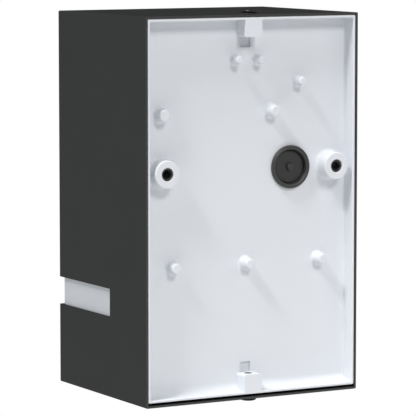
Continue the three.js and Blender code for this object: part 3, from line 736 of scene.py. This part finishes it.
def make_base(moulding):
    low, high = limits("mounting_base")
    inner = high.x - RIM
    floor_low, floor_high = low.z + RIM, high.z - RIM
    tray = slab((low.x, RIM_FRONT, low.z), (high.x, 0, high.z), 0.65, steps=5,
                keep=lambda middle: middle.y < RIM_FRONT + 0.1)
    rear = slab((-inner, FLOOR_BACK, floor_low), (inner, 4, floor_high), 0.9, steps=5)
    fore = slab((-inner, RIM_FRONT - 4, floor_low), (inner, FLOOR_FRONT, floor_high), 0.5, steps=3)
    blocks = []
    pockets = []
    for inner_face, toward in ((floor_high, -1), (floor_low, 1)):
        free_end = inner_face + toward * BLOCK_LENGTH
        ends = sorted((inner_face - toward * RIM / 2, free_end))
        blocks.append(slab(
            (-BLOCK_HALF, FLOOR_BACK - 1, ends[0]), (BLOCK_HALF, 0, ends[1]), 1.0, along="y", steps=5,
            keep=lambda middle, far=free_end: abs(middle.z - far) > 0.1))
        pocket = sorted((free_end - toward * 1.0, free_end + toward * 4.8))
        pockets.append(slab(
            (-2.6, FLOOR_BACK - 1.2, pocket[0]), (2.6, FLOOR_BACK + 1, pocket[1]), 0.3,
            along="yz", steps=2))
    wall_bosses = []
    for x in (-WALL_HOLE_X, WALL_HOLE_X):
        wall_bosses.append(turned([
            (0, WALL_BOSS_FRONT), *arc((5.9, WALL_BOSS_FRONT + 0.3), 0.3, -90, 0),
            (6.2, FLOOR_BACK - 0.5), (8.0, FLOOR_BACK - 0.5),
            *arc((8.0, FLOOR_BACK + 1.8), 1.8, 270, 180, 8),
            *arc((5.7, -0.5), 0.5, 0, 90), (0, 0)], "y", (x, 0, 0)))
    bosses = [work for *boss, _ in BOSSES for work in screw_boss(*boss)]
    holes = [turned([
        (0, WALL_BOSS_FRONT - 1), (5.0, WALL_BOSS_FRONT - 1), (5.0, -2.3),
        *arc((4.7, -2.3), 0.3, 0, 90, 3), (2.95, -2.0), (2.95, -0.3),
        *arc((3.25, -0.3), 0.3, 180, 100, 3),
        (3.25, 1), (0, 1)], "y", (x, 0, 0)) for x in (-WALL_HOLE_X, WALL_HOLE_X)]
    pilots = [bar("y", (x, 0, z), front - 1, PEG_TIP - 2, pilot, steps=24)
              for x, z, _, _, front, pilot in BOSSES]
    cover_screw_bores = [
        bar("z", (0, COVER_SCREW_Y, 0), start, end, COVER_SCREW_BORE, steps=40)
        for start, end in ((floor_high - BLOCK_LENGTH - 1, high.z + 1),
                           (low.z - 1, floor_low + BLOCK_LENGTH + 1))]
    grommet_hole = bar("y", (GROMMET_X, 0, 0), FLOOR_FRONT - 1, FLOOR_BACK + 1, GROMMET_HOLE)
    sunk = 0.4  # how far the cove reaches into the walls and the floor
    cove = prism([
        (FLOOR_BACK - sunk, floor_low - sunk), (FLOOR_BACK - sunk, floor_low + COVE),
        *arc((FLOOR_BACK + COVE, floor_low + COVE), COVE, 180, 270, 12),
        (FLOOR_BACK + COVE, floor_low - sunk)], "x", -inner - sunk, inner + sunk)
    base = built(tray, cut=[rear, fore, *pockets])
    soften(base, 0.4, lambda at: at.y > -0.01 and abs(at.x) < inner + 0.01
           and floor_low - 0.01 < at.z < floor_high + 0.01)
    base = built(base, add=[cove, *wall_bosses, *blocks, *bosses],
                 cut=[*holes, *pilots, *cover_screw_bores, grommet_hole])
    piece("moulded_base", base, moulding, "fixture", ["mounting_base"], edge=0.12)


# ---------------------------------------------------------------- cable grommet

def make_grommet(rubber):
    seat = FLOOR_BACK + 0.1
    profile = [
        (0, -6.4), (1.3, -6.4), *arc((1.35, -6.65), 0.25, 90, 5, 4), (1.85, -7.9),
        (7.0, -7.9), *arc((7.05, -8.2), 0.3, 90, 10, 4), (7.45, -8.6), (7.85, -8.6), (7.95, -7.6),
        (8.1, -7.2), (8.1, -6.7), (8.0, -6.45), *arc((8.2, -6.3), 0.3, 200, 130, 3),
        *arc((8.95, -6.45), 0.95, 125, 12, 10), (9.88, -6.7), (9.9, -7.1), (9.8, seat),
        (GROMMET_NECK, seat), (GROMMET_NECK, -9.6), (9.4, -9.6),
        *arc((9.4, -9.9), 0.2, 90, -45, 4), (9.3, -10.6), (6.6, -11.4), (5.3, -14.3),
        *arc((4.75, -14.2), 0.35, -20, -160, 6), (4.4, -14.0), (6.2, -9.9), (5.9, -9.6), (0, -9.6),
    ]
    grommet = turned(profile, "y", (GROMMET_X, 0, 0), steps=96)
    piece("blind_grommet", grommet, rubber, "fixture", ["cable_grommet"])


def make_wall_seals(rubber):
    for side, x in (("left", -WALL_HOLE_X), ("right", WALL_HOLE_X)):
        seal = turned([
            (2.1, -0.75), *arc((2.42, -0.75), 0.33, 180, 0, 8), (2.75, -2.1), (4.5, -2.1),
            *arc((4.5, -2.4), 0.3, 90, 0, 4), (4.8, -3.7), *arc((4.5, -3.7), 0.3, 0, -90, 4),
            (3.4, -4.0), (3.2, -3.7), (2.8, -3.7), (2.6, -4.0), (2.1, -4.0)],
            "y", (x, 0, 0), ring=True)
        piece(f"wall_screw_seal_{side}", seal, rubber, "fixture",
              [f"wall_seal_{side}"])


# ---------------------------------------------------------------- screws

def screw_work(head, height, shank, length, pitch, steps=24, plain=1.2, pointed=True):
    """A cross-recess pan-head screw along +Z: head seat at 0, thread down to minus its length."""
    core = shank * 0.78
    rings = 6
    crown = [
        (0.35, 0.985), (0.6, 0.93), (0.8, 0.8), (0.93, 0.6), (1.0, 0.36), (1.0, 0.12), (0.97, 0.0)]
    profile = [(0, height)] + [(head * r, height * h) for r, h in crown]
    profile += [(shank, 0.0), (shank, -plain)]
    count = int((length - plain) / pitch * rings)
    for i in range(1, count):
        profile.append((shank, -plain - (length - plain) * i / count))
    profile += [((0.25 if pointed else 0.95) * core, -length), (0, -length)]

    def ripple(angle, radius, along):
        if along > -plain - 1e-6 or along < 1e-6 - length or radius < 0.9 * shank:
            return radius
        phase = (along / pitch - angle / (2 * math.pi)) % 1
        ridge = max(0.0, 1 - abs(2 * phase - 1) * 1.15)
        start = min(1.0, (-plain - along) / pitch)
        left = min(1.0, (length + along) / ((2.5 if pointed else 0.6) * pitch))
        full = shank + (core + (shank - core) * ridge - shank) * start
        return full * (0.35 + 0.65 * left if pointed else 0.85 + 0.15 * left)

    work = turned(profile, "z", steps=steps, ripple=ripple)
    reach, wide, depth = head * 0.52, head * 0.13, height * 0.62
    cross = [slab((-a, -b, height - depth), (a, b, height + 1))
             for a, b in ((reach, wide), (wide, reach))]
    hub = bar("z", (0, 0, 0), height - depth - 0.1, height + 1, head * 0.13, head * 0.34, steps=16)
    return built(work, cut=[*cross, hub])


def make_cover_screws(steel, rubber):
    low, high = limits("cover")
    for name, outward, length in (("top", 1, 10.0), ("bottom", -1, 11.6)):
        face = high.z if outward > 0 else low.z
        turn = Matrix() if outward > 0 else Matrix.Rotation(math.pi, 4, "X")
        place = Matrix.Translation(Vector((0, COVER_SCREW_Y, face)) * MM) @ turn
        washer = turned(
            [(2.15, 0.1), (3.6, 0.1), *arc((3.6, 0.25), 0.15, -90, 90, 6), (2.15, 0.4)], ring=True)
        piece(f"sealing_washer_{name}", moved(washer, place), rubber, f"{name}_washer",
              [f"cover_washer_{name}"])
        screw = screw_work(3.6, 0.95, 1.9, length, 0.7, steps=48, pointed=False)
        lift = Matrix.Translation(Vector((0, 0, 0.5)) * MM)
        piece(f"pan_screw_{name}", moved(screw, place @ lift), steel, f"{name}_screw",
              [f"cover_screw_{name}"], smooth=40)


def make_inner_screws(zinc):
    """Self-tapping screws whose size and seat come from their places; most point at the wall."""
    rearward = [("bracket_screw", 3), ("driver_screw", 2), ("connector_screw", 2)]
    names = [f"{kind}_{i + 1}" for kind, count in rearward for i in range(count)]
    names += ["clamp_screw", "earth_screw", *(f"diffuser_screw_{i + 1}" for i in range(4))]
    for name in names:
        low, high = limits(name)
        upright = name.startswith("diffuser")
        height = 1.6 if name.startswith("connector") else 1.8
        shank, pitch = 1.0, 0.9
        if name.startswith("connector"):
            shank = 0.8
        if name == "earth_screw":
            shank, pitch = 1.4, 0.5
        middle = (low + high) / 2
        if upright:
            length = high.z - low.z - height
            place = Matrix.Translation(Vector((middle.x, middle.y, high.z - height)) * MM)
        else:
            length = high.y - low.y - height
            place = Matrix.Translation(Vector((middle.x, low.y + height, middle.z)) * MM)
            place @= Matrix.Rotation(math.radians(90), 4, "X")
        screw = screw_work((high.x - low.x) / 2, height, shank, length, pitch)
        piece(f"{name}_threaded", moved(screw, place), zinc, "fixture", [name],
              smooth=40)


# ---------------------------------------------------------------- light box

CORNERS = [(x, y) for x in (-48.8, 48.8) for y in (-80.0, -34.6)]


def make_diffuser(plastic):
    low, high = limits("diffuser")
    wall = 2.0
    outer = slab(low, high, 0.8, along="z", steps=5)
    inner = slab((low.x + wall, low.y + wall, low.z + wall), (high.x - wall, high.y - wall, high.z + 2),
                 0.6, steps=3)
    posts = [bar("z", (x, y, 0), high.z - 6.5, high.z, 3.1, steps=32) for x, y in CORNERS]
    pilots = [bar("z", (x, y, 0), high.z - 5.5, high.z + 1, 1.2, steps=20) for x, y in CORNERS]
    box = built(outer, cut=[inner])
    box = built(box, add=posts, cut=pilots)
    piece("opal_box", box, plastic, "fixture", ["diffuser"], edge=0.15)


def make_gasket(silicone):
    low, high = limits("diffuser_gasket")
    width = 3.0
    lobe = 7.4
    outer = slab(low, high, 1.2, along="z")
    inner = slab((low.x + width, low.y + width, low.z - 1),
                 (high.x - width, high.y - width, high.z + 1), 1.5, along="z")
    lobes = []
    for x in (low.x, high.x - lobe):
        for y in (low.y, high.y - lobe):
            lobes.append(slab((x, y, low.z), (x + lobe, y + lobe, high.z), 1.2, along="z"))
    holes = [bar("z", (x, y, 0), low.z - 1, high.z + 1, 1.4, steps=24) for x, y in CORNERS]
    seal = built(outer, cut=[inner])
    seal = built(seal, add=lobes, cut=holes)
    piece("box_seal", seal, silicone, "fixture", ["diffuser_gasket"], edge=0.3)


def make_bracket(aluminium):
    low, high = limits("light_bracket")
    plate = 1.5
    half = 46.0
    bend = 1.9
    shelf_top = low.z + plate
    face = high.y - plate
    outline = [(face - 12, low.z)]
    outline += arc((high.y - bend, low.z + bend), bend, -90, 0, 8)
    outline += [(high.y, high.z), (face, high.z)]
    outline += arc((face - 0.4, shelf_top + 0.4), 0.4, 0, -90, 4)
    outline += [(face - 12, shelf_top)]
    fold = prism(outline, "x", -half, half)
    shelf = slab(low, (high.x, face - 2.5, shelf_top), 2.0, along="z", steps=5)
    corner = [prism([
        (x, high.z + 1), (x - side * 3, high.z + 1),
        *arc((x - side * 3, high.z - 3), 3, 90, 90 - side * 90, 6),
        (x + side, high.z - 3), (x + side, high.z + 1)], "y", face - 1, high.y + 1)
        for x, side in ((-half, -1), (half, 1))]
    holes = [bar("y", (x, 0, BRACKET_SCREW_Z), face - 1, high.y + 1, radius, steps=28)
             for x, radius in ((-38.2, 1.5), (0.0, 1.5), (38.2, 1.5), (20.0, 1.6))]
    holes += [bar("z", (x, y, 0), low.z - 1, shelf_top + 1, 1.5, steps=28) for x, y in CORNERS]
    holes += [bar("z", (34.75, -37.6, 0), low.z - 1, shelf_top + 1, 3.6, steps=40)]
    bracket = built(shelf, add=[fold])
    bracket = built(bracket, cut=[*corner, *holes])
    piece("folded_bracket", bracket, aluminium, "fixture", ["light_bracket"],
          edge=0.12)


def make_reflector(white):
    low, high = limits("reflector")
    floor = low.z + 0.8
    outline = [(low.y, low.z), (high.y, low.z), (high.y, high.z - 2.2), (high.y - 0.8, high.z - 2.2),
               (high.y - 0.8, floor + 0.6), (high.y - 1.4, floor), (high.y - 3.5, floor)]
    outline += [(high.y - 20, high.z - 0.4), (high.y - 20.8, high.z), (low.y + 20.8, high.z),
                (low.y + 20, high.z - 0.4)]
    outline += [(low.y + 3.5, floor), (low.y + 1.4, floor), (low.y + 0.8, floor + 0.6),
                (low.y + 0.8, high.z - 2.2), (low.y, high.z - 2.2)]
    tray = prism(outline, "x", low.x, high.x)
    ends = [slab((x0, low.y + 0.81, floor + 0.001), (x1, high.y - 0.81, high.z + 1))
            for x0, x1 in ((low.x - 1, low.x + 4), (high.x - 4, high.x + 1))]
    piece("ridged_reflector", built(tray, cut=ends), white, "fixture", ["reflector"],
          edge=0.15)


def make_led_board(pad_silicone, mask, tinned, package, phosphor):
    low, high = limits("thermal_pad")
    piece("gap_pad", slab(low, high, 1.0, along="z"), pad_silicone, "fixture",
          ["thermal_pad"], edge=0.1)
    low, high = limits("led_board")
    board = slab(low, high, 2.0, along="z", steps=5)
    places = [(x, high.y, 0) for x in (-30.0, 0.0, 30.0)] + [(x, low.y, 0) for x in (-24.0, 24.0)]
    notches = [bar("z", place, low.z - 1, high.z + 1, 1.8, steps=28) for place in places]
    piece("emitter_board", built(board, cut=notches), mask, "fixture", ["led_board"],
          edge=0.08)
    skin = 0.05
    pads = None
    for x in (33.0, 36.5):
        for size, y in ((1.3, -43.9), (0.7, -46.6)):
            pad = slab((x - size, y - size, low.z - skin), (x + size, y + size, low.z + 0.3),
                       0.25, along="z")
            pads = built(pads, add=[pad]) if pads else pad
    piece("wire_pads", pads, tinned, "fixture", [])
    for i in range(8):
        name = f"led_{i + 1}"
        low, high = limits(name)
        middle = (low + high) / 2
        body = slab(low, high, 0.25, along="z")
        dish = bar("z", (middle.x, middle.y, 0), low.z - 0.5, low.z + 0.35, 1.45, 1.1, steps=32)
        diode = piece(f"emitter_{i + 1}", built(body, cut=[dish]), package, "fixture",
                      [name], edge=0.05)
        paint(diode, phosphor,
              lambda at, normal, m=middle: (at - m).xy.length < 1.2 and normal.z < -0.6)


def make_wire_grommet(rubber):
    low, high = limits("wire_grommet")
    middle = (low + high) / 2
    top = high.z - 1.5
    under = low.z + 0.8
    outer = (high.x - low.x) / 2
    body = turned([
        (0, low.z), (3.6, low.z), *arc((3.65, low.z + 0.25), 0.25, -90, 0, 4), (3.9, under),
        (3.4, under), (3.4, top), (outer, top), (outer, top + 0.8),
        *arc((outer - 0.6, top + 0.9), 0.6, 0, 70, 5), (3.2, high.z), (0, high.z)],
        "z", (middle.x, middle.y, 0), steps=48)
    holes = [bar("z", (middle.x + side * 1.75, middle.y, 0), low.z - 1, high.z + 1, 0.95, steps=24)
             for side in (-1, 1)]
    piece("two_wire_grommet", built(body, cut=holes), rubber, "fixture",
          ["wire_grommet"], edge=0.1)


def make_earth_parts(brass):
    low, high = limits("earth_tag")
    x = (low.x + high.x) / 2
    z = BRACKET_SCREW_Z
    thick = 0.8
    ring = turned([(1.7, high.y - thick), (3.3, high.y - thick), (3.3, high.y), (1.7, high.y)],
                  "y", (x, 0, z), steps=48, ring=True)
    neck = slab((x - 1.6, high.y - thick, z + 2.6), (x + 1.6, high.y, z + 5.4), 0.3, along="z")
    barrel = slab((x - 1.9, low.y, z + 4.6), (x + 1.9, high.y, z + 9), 1.0, along="z", steps=4)
    crimps = [slab((x - 0.5, low.y - 1, z + h), (x + 0.5, low.y + 0.45, z + h + 1.2), 0.3)
              for h in (5.3, 7.2)]
    bore = bar("z", (x, (low.y + high.y) / 2, 0), z + 5.2, z + 10, 1.3, steps=24)
    tag = built(ring, add=[neck, barrel], cut=[bore, *crimps])
    piece("ring_terminal", tag, brass, "fixture", ["earth_tag"], edge=0.12)
    low, high = limits("cover_earth_spring")
    back = high.y
    leaf = 0.4
    route = [(41.5, back - leaf / 2), (44.5, back - leaf / 2), (48.1, back - leaf / 2),
             (50.8, back - 2.4), (high.x - leaf / 2, back - leaf - 5),
             (high.x - 0.6, back - leaf - 8), (52.2, low.y + 0.1)]
    strip = prism(leaf_outline([Vector((a, b, 0)) for a, b in route], leaf), "z", low.z, high.z)
    slit = slab((43.0, back - 1, -39.6), (46.5, back + 1, -38.4), 0.5, along="y", steps=4)
    piece("bonding_spring", built(strip, cut=[slit]), brass, "fixture",
          ["cover_earth_spring"], edge=0.06)


# ---------------------------------------------------------------- driver

def make_driver(case_plastic, board_mask, tape, ferrite, sleeve, tinned):
    case_low, case_high = limits("driver_case")
    lid_low, lid_high = limits("driver_lid")
    middle = (lid_low.x + lid_high.x) / 2
    half = (lid_high.x - lid_low.x) / 2
    back = case_high.y
    wall = 1.6
    ear_x = (case_high.x - case_low.x) / 2 - 4.5
    screw_z = 26.0
    case = slab((middle - half, case_low.y, lid_low.z), (middle + half, back, lid_high.z), 1.5,
                along="y", steps=4)
    hollow = slab((middle + wall - half, case_low.y - 2, lid_low.z + wall),
                  (middle + half - wall, back - wall, lid_high.z - wall), 0.8, steps=3)
    ears = slab((middle - ear_x - 4.5, back - 2.5, screw_z - 5),
                (middle + ear_x + 4.5, back, screw_z + 5), 3.5, along="y", steps=6)
    slots = [bar("y", (middle + side * ear_x, 0, screw_z), back - 4, back + 1, 1.5, steps=28)
             for side in (-1, 1)]
    wire_holes = [bar("x", (0, back - 12, z), middle + x - 2, middle + x + 2, 1.5, steps=24)
                  for x, z in ((-half, 22.0), (-half, 17.0), (half, 18.0), (half, 13.0))]
    ribs = [slab((middle + x - 1, back - 3.9, lid_low.z + wall / 2),
                 (middle + x + 1, back - wall / 2, lid_high.z - wall / 2)) for x in (-15, 15)]
    case = built(case, add=[ears])
    case = built(case, cut=[hollow, *slots, *wire_holes])
    piece("driver_tub", built(case, add=ribs), case_plastic, "fixture",
          ["driver_case"], edge=0.2)

    lid_face = lid_low.y + 1.5
    lid = slab(lid_low, (lid_high.x, lid_face, lid_high.z), 1.5, along="y", steps=4)
    lip_low = (lid_low.x + 1.9, lid_face - 0.5, lid_low.z + 1.9)
    lip_high = (lid_high.x - 1.9, lid_high.y, lid_high.z - 1.9)
    lip = slab(lip_low, lip_high, 0.5, along="y")
    inside = slab((lip_low[0] + 1, lid_face, lip_low[2] + 1),
                  (lip_high[0] - 1, lid_high.y + 1, lip_high[2] - 1))
    grooves = [slab((middle + x - 0.5, lid_low.y - 1, 13.0), (middle + x + 0.5, lid_low.y + 0.5, 30.0),
                    0.45, along="y", steps=4) for x in range(-18, -5, 3)]
    lid = built(lid, add=[lip])
    piece("driver_cap", built(lid, cut=[inside, *grooves]), case_plastic, "fixture",
          ["driver_lid"], edge=0.2)

    low, high = limits("driver_board")
    board = slab(low, high, 0.6, along="y")
    chips = [slab((middle - 3 + dx, low.y - tall, z),
                  (middle - 3 + dx + wide, low.y + 0.2, z + long), 0.15)
             for dx, wide, tall, z, long in ((-12, 4.5, 1.6, 13.5, 3.8), (-5, 3, 1.0, 14.5, 2.0),
                                             (-12, 2.4, 1.1, 29.0, 1.4), (-7, 2.4, 1.1, 29.0, 1.4))]
    populated = piece("populated_board", built(board, add=chips), board_mask, "fixture",
                      ["driver_board"], edge=0.05)
    paint(populated, ferrite, lambda at, normal: at.y < low.y - 0.05)

    low, high = limits("driver_transformer")
    core = [slab((low.x, low.y, low.z), (high.x, high.y - 0.8, low.z + 3.2), 0.3),
            slab((low.x, low.y, high.z - 3.2), (high.x, high.y - 0.8, high.z), 0.3)]
    winding = slab((low.x + 1.4, low.y + 0.6, low.z + 2.4), (high.x - 1.4, high.y, high.z - 2.4), 1.8,
                   along="z", steps=5)
    pins = [slab((x, high.y - 1, z), (x + 0.7, high.y, z + 0.7)) for x in (low.x + 0.4, high.x - 1.1)
            for z in (low.z + 3.6, (low.z + high.z) / 2, high.z - 4.3)]
    wound = piece("flyback_transformer", built(winding, add=[*core, *pins]), tape, "fixture",
                  ["driver_transformer"], edge=0.12)
    paint(wound, ferrite,
          lambda at, normal: abs(at.z - (low.z + high.z) / 2) > (high.z - low.z) / 2 - 3.3)

    low, high = limits("driver_capacitor")
    radius = (high.z - low.z) / 2
    place = (0, (low.y + high.y) / 2, (low.z + high.z) / 2)
    can = turned([
        (0, low.x), (radius * 0.75, low.x), *arc((radius - 0.4, low.x + 0.4), 0.4, -90, 0, 4),
        (radius, low.x + 1.6), (radius * 0.93, low.x + 2.0), (radius, low.x + 2.4),
        *arc((radius - 0.5, high.x - 0.5), 0.5, 0, 90, 5), (radius * 0.78, high.x - 0.1),
        (0, high.x - 0.1)], "x", place, steps=48)
    score = [slab((high.x - 0.35, place[1] - a, place[2] - b), (high.x + 1, place[1] + a, place[2] + b))
             for a, b in ((2.4, 0.15), (0.15, 2.4))]
    sleeved = piece("sleeved_capacitor", built(can, cut=score), sleeve, "fixture",
                    ["driver_capacitor"])
    paint(sleeved, tinned, lambda at, normal:
          at.x > high.x - 0.5 and (at.yz - Vector(place).yz).length < radius * 0.8)


# ---------------------------------------------------------------- connector block

POLES = [("live", -11.6), ("neutral", 0.0), ("earth", 11.6)]
LEVER_HALF = 2.7
LEVER_HUB = 2.2
LEVER_REACH = 12.5
LEVER_SEAT = 12.4  # in front of the connector's back face
LEVER_RISE = 4.5  # above the connector's middle
PIVOT = 0.9


def make_connector(body_plastic, lever_plastic, brass):
    low, high = limits("connector_body")
    back, middle_z = high.y, (low.z + high.z) / 2
    lever_y, lever_z = back - LEVER_SEAT, middle_z + LEVER_RISE
    contact_y = back - 6
    clear = 0.3
    body = slab(low, high, 0.9, along="xz", steps=3)
    cuts = []
    for x in (-5.8, 5.8):
        cuts += [bar("y", (x, 0, middle_z), low.y - 1, back - 4, 2.25, steps=36),
                 bar("y", (x, 0, middle_z), back - 5, back + 1, 1.2, steps=24)]
    for _, x in POLES:
        left, right = x - LEVER_HALF - clear, x + LEVER_HALF + clear
        cuts += [
            slab((left, low.y - 1, low.z - 1), (right, lever_y + 0.2, lever_z + LEVER_HUB + 0.4),
                 0.2),
            bar("x", (0, lever_y, lever_z), left, right, LEVER_HUB + 0.4, steps=40),
            bar("x", (0, lever_y, lever_z), x - 4.3, x + 4.3, PIVOT + 0.3, steps=24),
            bar("z", (x, contact_y, 0), low.z - 1, middle_z, 1.7, steps=32),
            bar("z", (x, contact_y, 0), low.z - 1, low.z + 1.0, 2.5, 1.6, steps=32),
            bar("z", (x, contact_y, 0), middle_z, high.z + 1, 2.1, steps=32),
            slab((x - 2.5, contact_y - 2.3, middle_z - 2.2),
                 (x + 2.5, contact_y + 2.3, middle_z + 2.2)),
        ]
    piece("three_pole_block", built(body, cut=cuts), body_plastic, "fixture",
          ["connector_body"], edge=0.12)
    for name, x in POLES:
        side = [(lever_y + a, lever_z + b) for a, b in [
            *arc((0, 0), LEVER_HUB, 140, -60, 14), (-0.4, -2.4), (-0.4, -LEVER_REACH + 0.5),
            *arc((-0.9, -LEVER_REACH + 0.5), 0.5, 0, -90, 4),
            (-2.4, -LEVER_REACH), *arc((-2.5, -LEVER_REACH + 0.6), 0.6, -90, -180, 4),
            (-3.1, -LEVER_REACH + 2.2), (-2.2, -LEVER_REACH + 3.6), (-2.2, -1.6)]]
        arm = prism(side, "x", x - LEVER_HALF, x + LEVER_HALF)
        studs = bar("x", (0, lever_y, lever_z), x - 4, x + 4, PIVOT, steps=28)
        dish = bar("x", (0, lever_y - 5.0, lever_z - 7.0), x - LEVER_HALF - 1, x + LEVER_HALF + 1,
                   2.95, steps=48)
        lever = built(built(arm, cut=[dish]), add=[studs])
        piece(f"{name}_rocker", lever, lever_plastic, f"{name}_lever",
              [f"lever_{name}"], edge=0.22)
        low_c, high_c = limits(f"contact_{name}")
        cage = slab(low_c, high_c, 0.5, along="x", steps=3)
        bore = bar("z", (x, contact_y, 0), low_c.z - 1, high_c.z + 1, 1.3, steps=28)
        leaf = slab((x - 1.1, low_c.y - 1, low_c.z + 0.6), (x + 1.1, low_c.y + 0.4, high_c.z - 0.6),
                    0.2)
        piece(f"{name}_cage", built(cage, cut=[bore, leaf]), brass, "fixture",
              [f"contact_{name}"], edge=0.08)


def make_clamp(nylon):
    low, high = limits("cable_clamp")
    outer = 5.5
    loop_x, loop_y = low.x + outer, high.y - outer
    seat = loop_y + 1.6
    screw_x, screw_z = -27.2, 39.2
    ring = turned([(4.1, low.z), (outer - 0.5, low.z), *arc((outer - 0.5, low.z + 0.5), 0.5, -90, 0, 4),
                   *arc((outer - 0.5, high.z - 0.5), 0.5, 0, 90, 4), (4.1, high.z)],
                  "z", (loop_x, loop_y, 0), steps=64, ring=True)
    tab = slab((loop_x + 4.3, seat - 2, low.z), (high.x, seat, high.z), 2.2, along="y", steps=5,
               keep=lambda at: at.x < loop_x + 5)
    hole = bar("y", (screw_x, 0, screw_z), seat - 4, seat + 1, 1.5, steps=28)
    grips = [slab((loop_x - 3, loop_y - 4.6, low.z + h),
                  (loop_x + 3, loop_y - 3.7, low.z + h + 0.6), 0.2)
             for h in (1.5, 3.7, 5.9)]
    piece("p_clamp", built(built(ring, add=[tab, *grips]), cut=[hole]), nylon, "fixture",
          ["cable_clamp"], edge=0.15)


# ---------------------------------------------------------------- inner wires

WIRES = [
    ("live_wire", "wire_brown", 1.2, [
        (-11.6, -18.6, 42.5), (-11.6, -18.6, 37), (-12, -21, 30), (-12.3, -24.6, 24.2),
        (-10.2, -25.6, 22), (-4, -25.6, 22)]),
    ("neutral_wire", "wire_blue", 1.2, [
        (0, -18.6, 42.5), (0, -18.8, 38.6), (-3.4, -21.8, 36.9), (-8.6, -26.2, 36), (-11.6, -29, 30),
        (-12.4, -28.8, 21), (-10.4, -25.9, 17.1), (-4, -25.6, 17)]),
    ("earth_wire", "wire_earth", 1.2, [
        (11.6, -18.6, 42.5), (11.6, -19, 38.9), (11.9, -24, 37.2), (12.5, -32, 37.2), (13, -38, 34),
        (13.6, -38.6, 24), (14.6, -37.4, 6), (16.5, -32, -10), (19, -23.5, -23), (20, -19.2, -31),
        (20, -19, -33.5), (20, -19, -36.6)]),
    ("led_wire_positive", "wire_red", 0.8, [
        (35, -25.6, 18), (40.4, -25.6, 17.8), (42, -26, 11), (37.6, -27, 2.5), (34.6, -28, -9),
        (34.8, -31, -25), (36.2, -36, -38), (36.5, -37.6, -44), (36.5, -37.6, -49.6),
        (36.5, -39.4, -51.8), (36.5, -43.8, -52)]),
    ("led_wire_negative", "wire_black", 0.8, [
        (35, -25.6, 13), (39.6, -25.2, 12.4), (39.8, -22.6, 7.6), (35.6, -21.8, 0.4), (31.6, -24.6, -9),
        (31.2, -30, -25), (32.6, -36, -38), (33, -37.6, -44), (33, -37.6, -49.6), (33, -39.4, -51.8),
        (33, -43.8, -52)]),
]
STRIPPED = 2.2  # bare copper at each end
STRIPE_SIDES = (0, 1, 2, 8, 9, 10)  # of 16: the earth wire's two yellow stripes


def make_wires(sheaths, copper, yellow):
    for name, slot, radius, route in WIRES:
        path = smooth_path([Vector(point) for point in route])
        bm, sections = wire_bmesh(path, radius, STRIPPED)
        finished = piece(f"{name}_sheathed", temporary(bm), sheaths[slot], "fixture", [name],
                         smooth=50, merge=False)
        finished.data.materials.append(copper.material)
        if slot == "wire_earth":
            finished.data.materials.append(yellow.material)
        for face, (side, bare) in zip(finished.data.polygons, sections):
            striped = slot == "wire_earth" and side in STRIPE_SIDES
            face.material_index = 1 if bare else 2 if striped else 0


# ---------------------------------------------------------------- assembly

make_camera()
make_studio()
coat = powder_coat()
rubber = textured("black_grommet_rubber")
zinc = zinc_steel()
brass = plain_brass()
circuit = textured("tinned_pads")
ferrite = textured("ferrite_and_epoxy")
make_cover(coat, textured("painted_edge_sheen_coat"))
make_base(textured("white_moulded_plastic"))
make_grommet(rubber)
make_wall_seals(rubber)
make_cover_screws(textured("black_plated_steel"), rubber)
make_diffuser(textured("opal_diffuser"))
make_gasket(textured("seal_silicone_grey"))
make_bracket(mill_aluminium())
make_reflector(textured("gloss_white_paint"))
make_led_board(textured("gap_pad_grey"), board_mask("white_mask", (0.80, 0.81, 0.78)), circuit,
               textured("diode_package"), textured("phosphor_gel"))
make_wire_grommet(rubber)
make_earth_parts(brass)
make_driver(textured("driver_black_plastic"), board_mask("green_mask", (0.022, 0.150, 0.060)),
            winding_tape(), ferrite, shrink_sleeve(), circuit)
make_connector(textured("connector_grey_plastic"), textured("lever_orange_plastic"), brass)
make_clamp(textured("natural_nylon"))
make_inner_screws(zinc)
sheaths = {slot: textured(f"{slot}_sheath") for _, slot, _, _ in WIRES}
make_wires(sheaths, bare_copper(), textured("earth_stripe_yellow"))
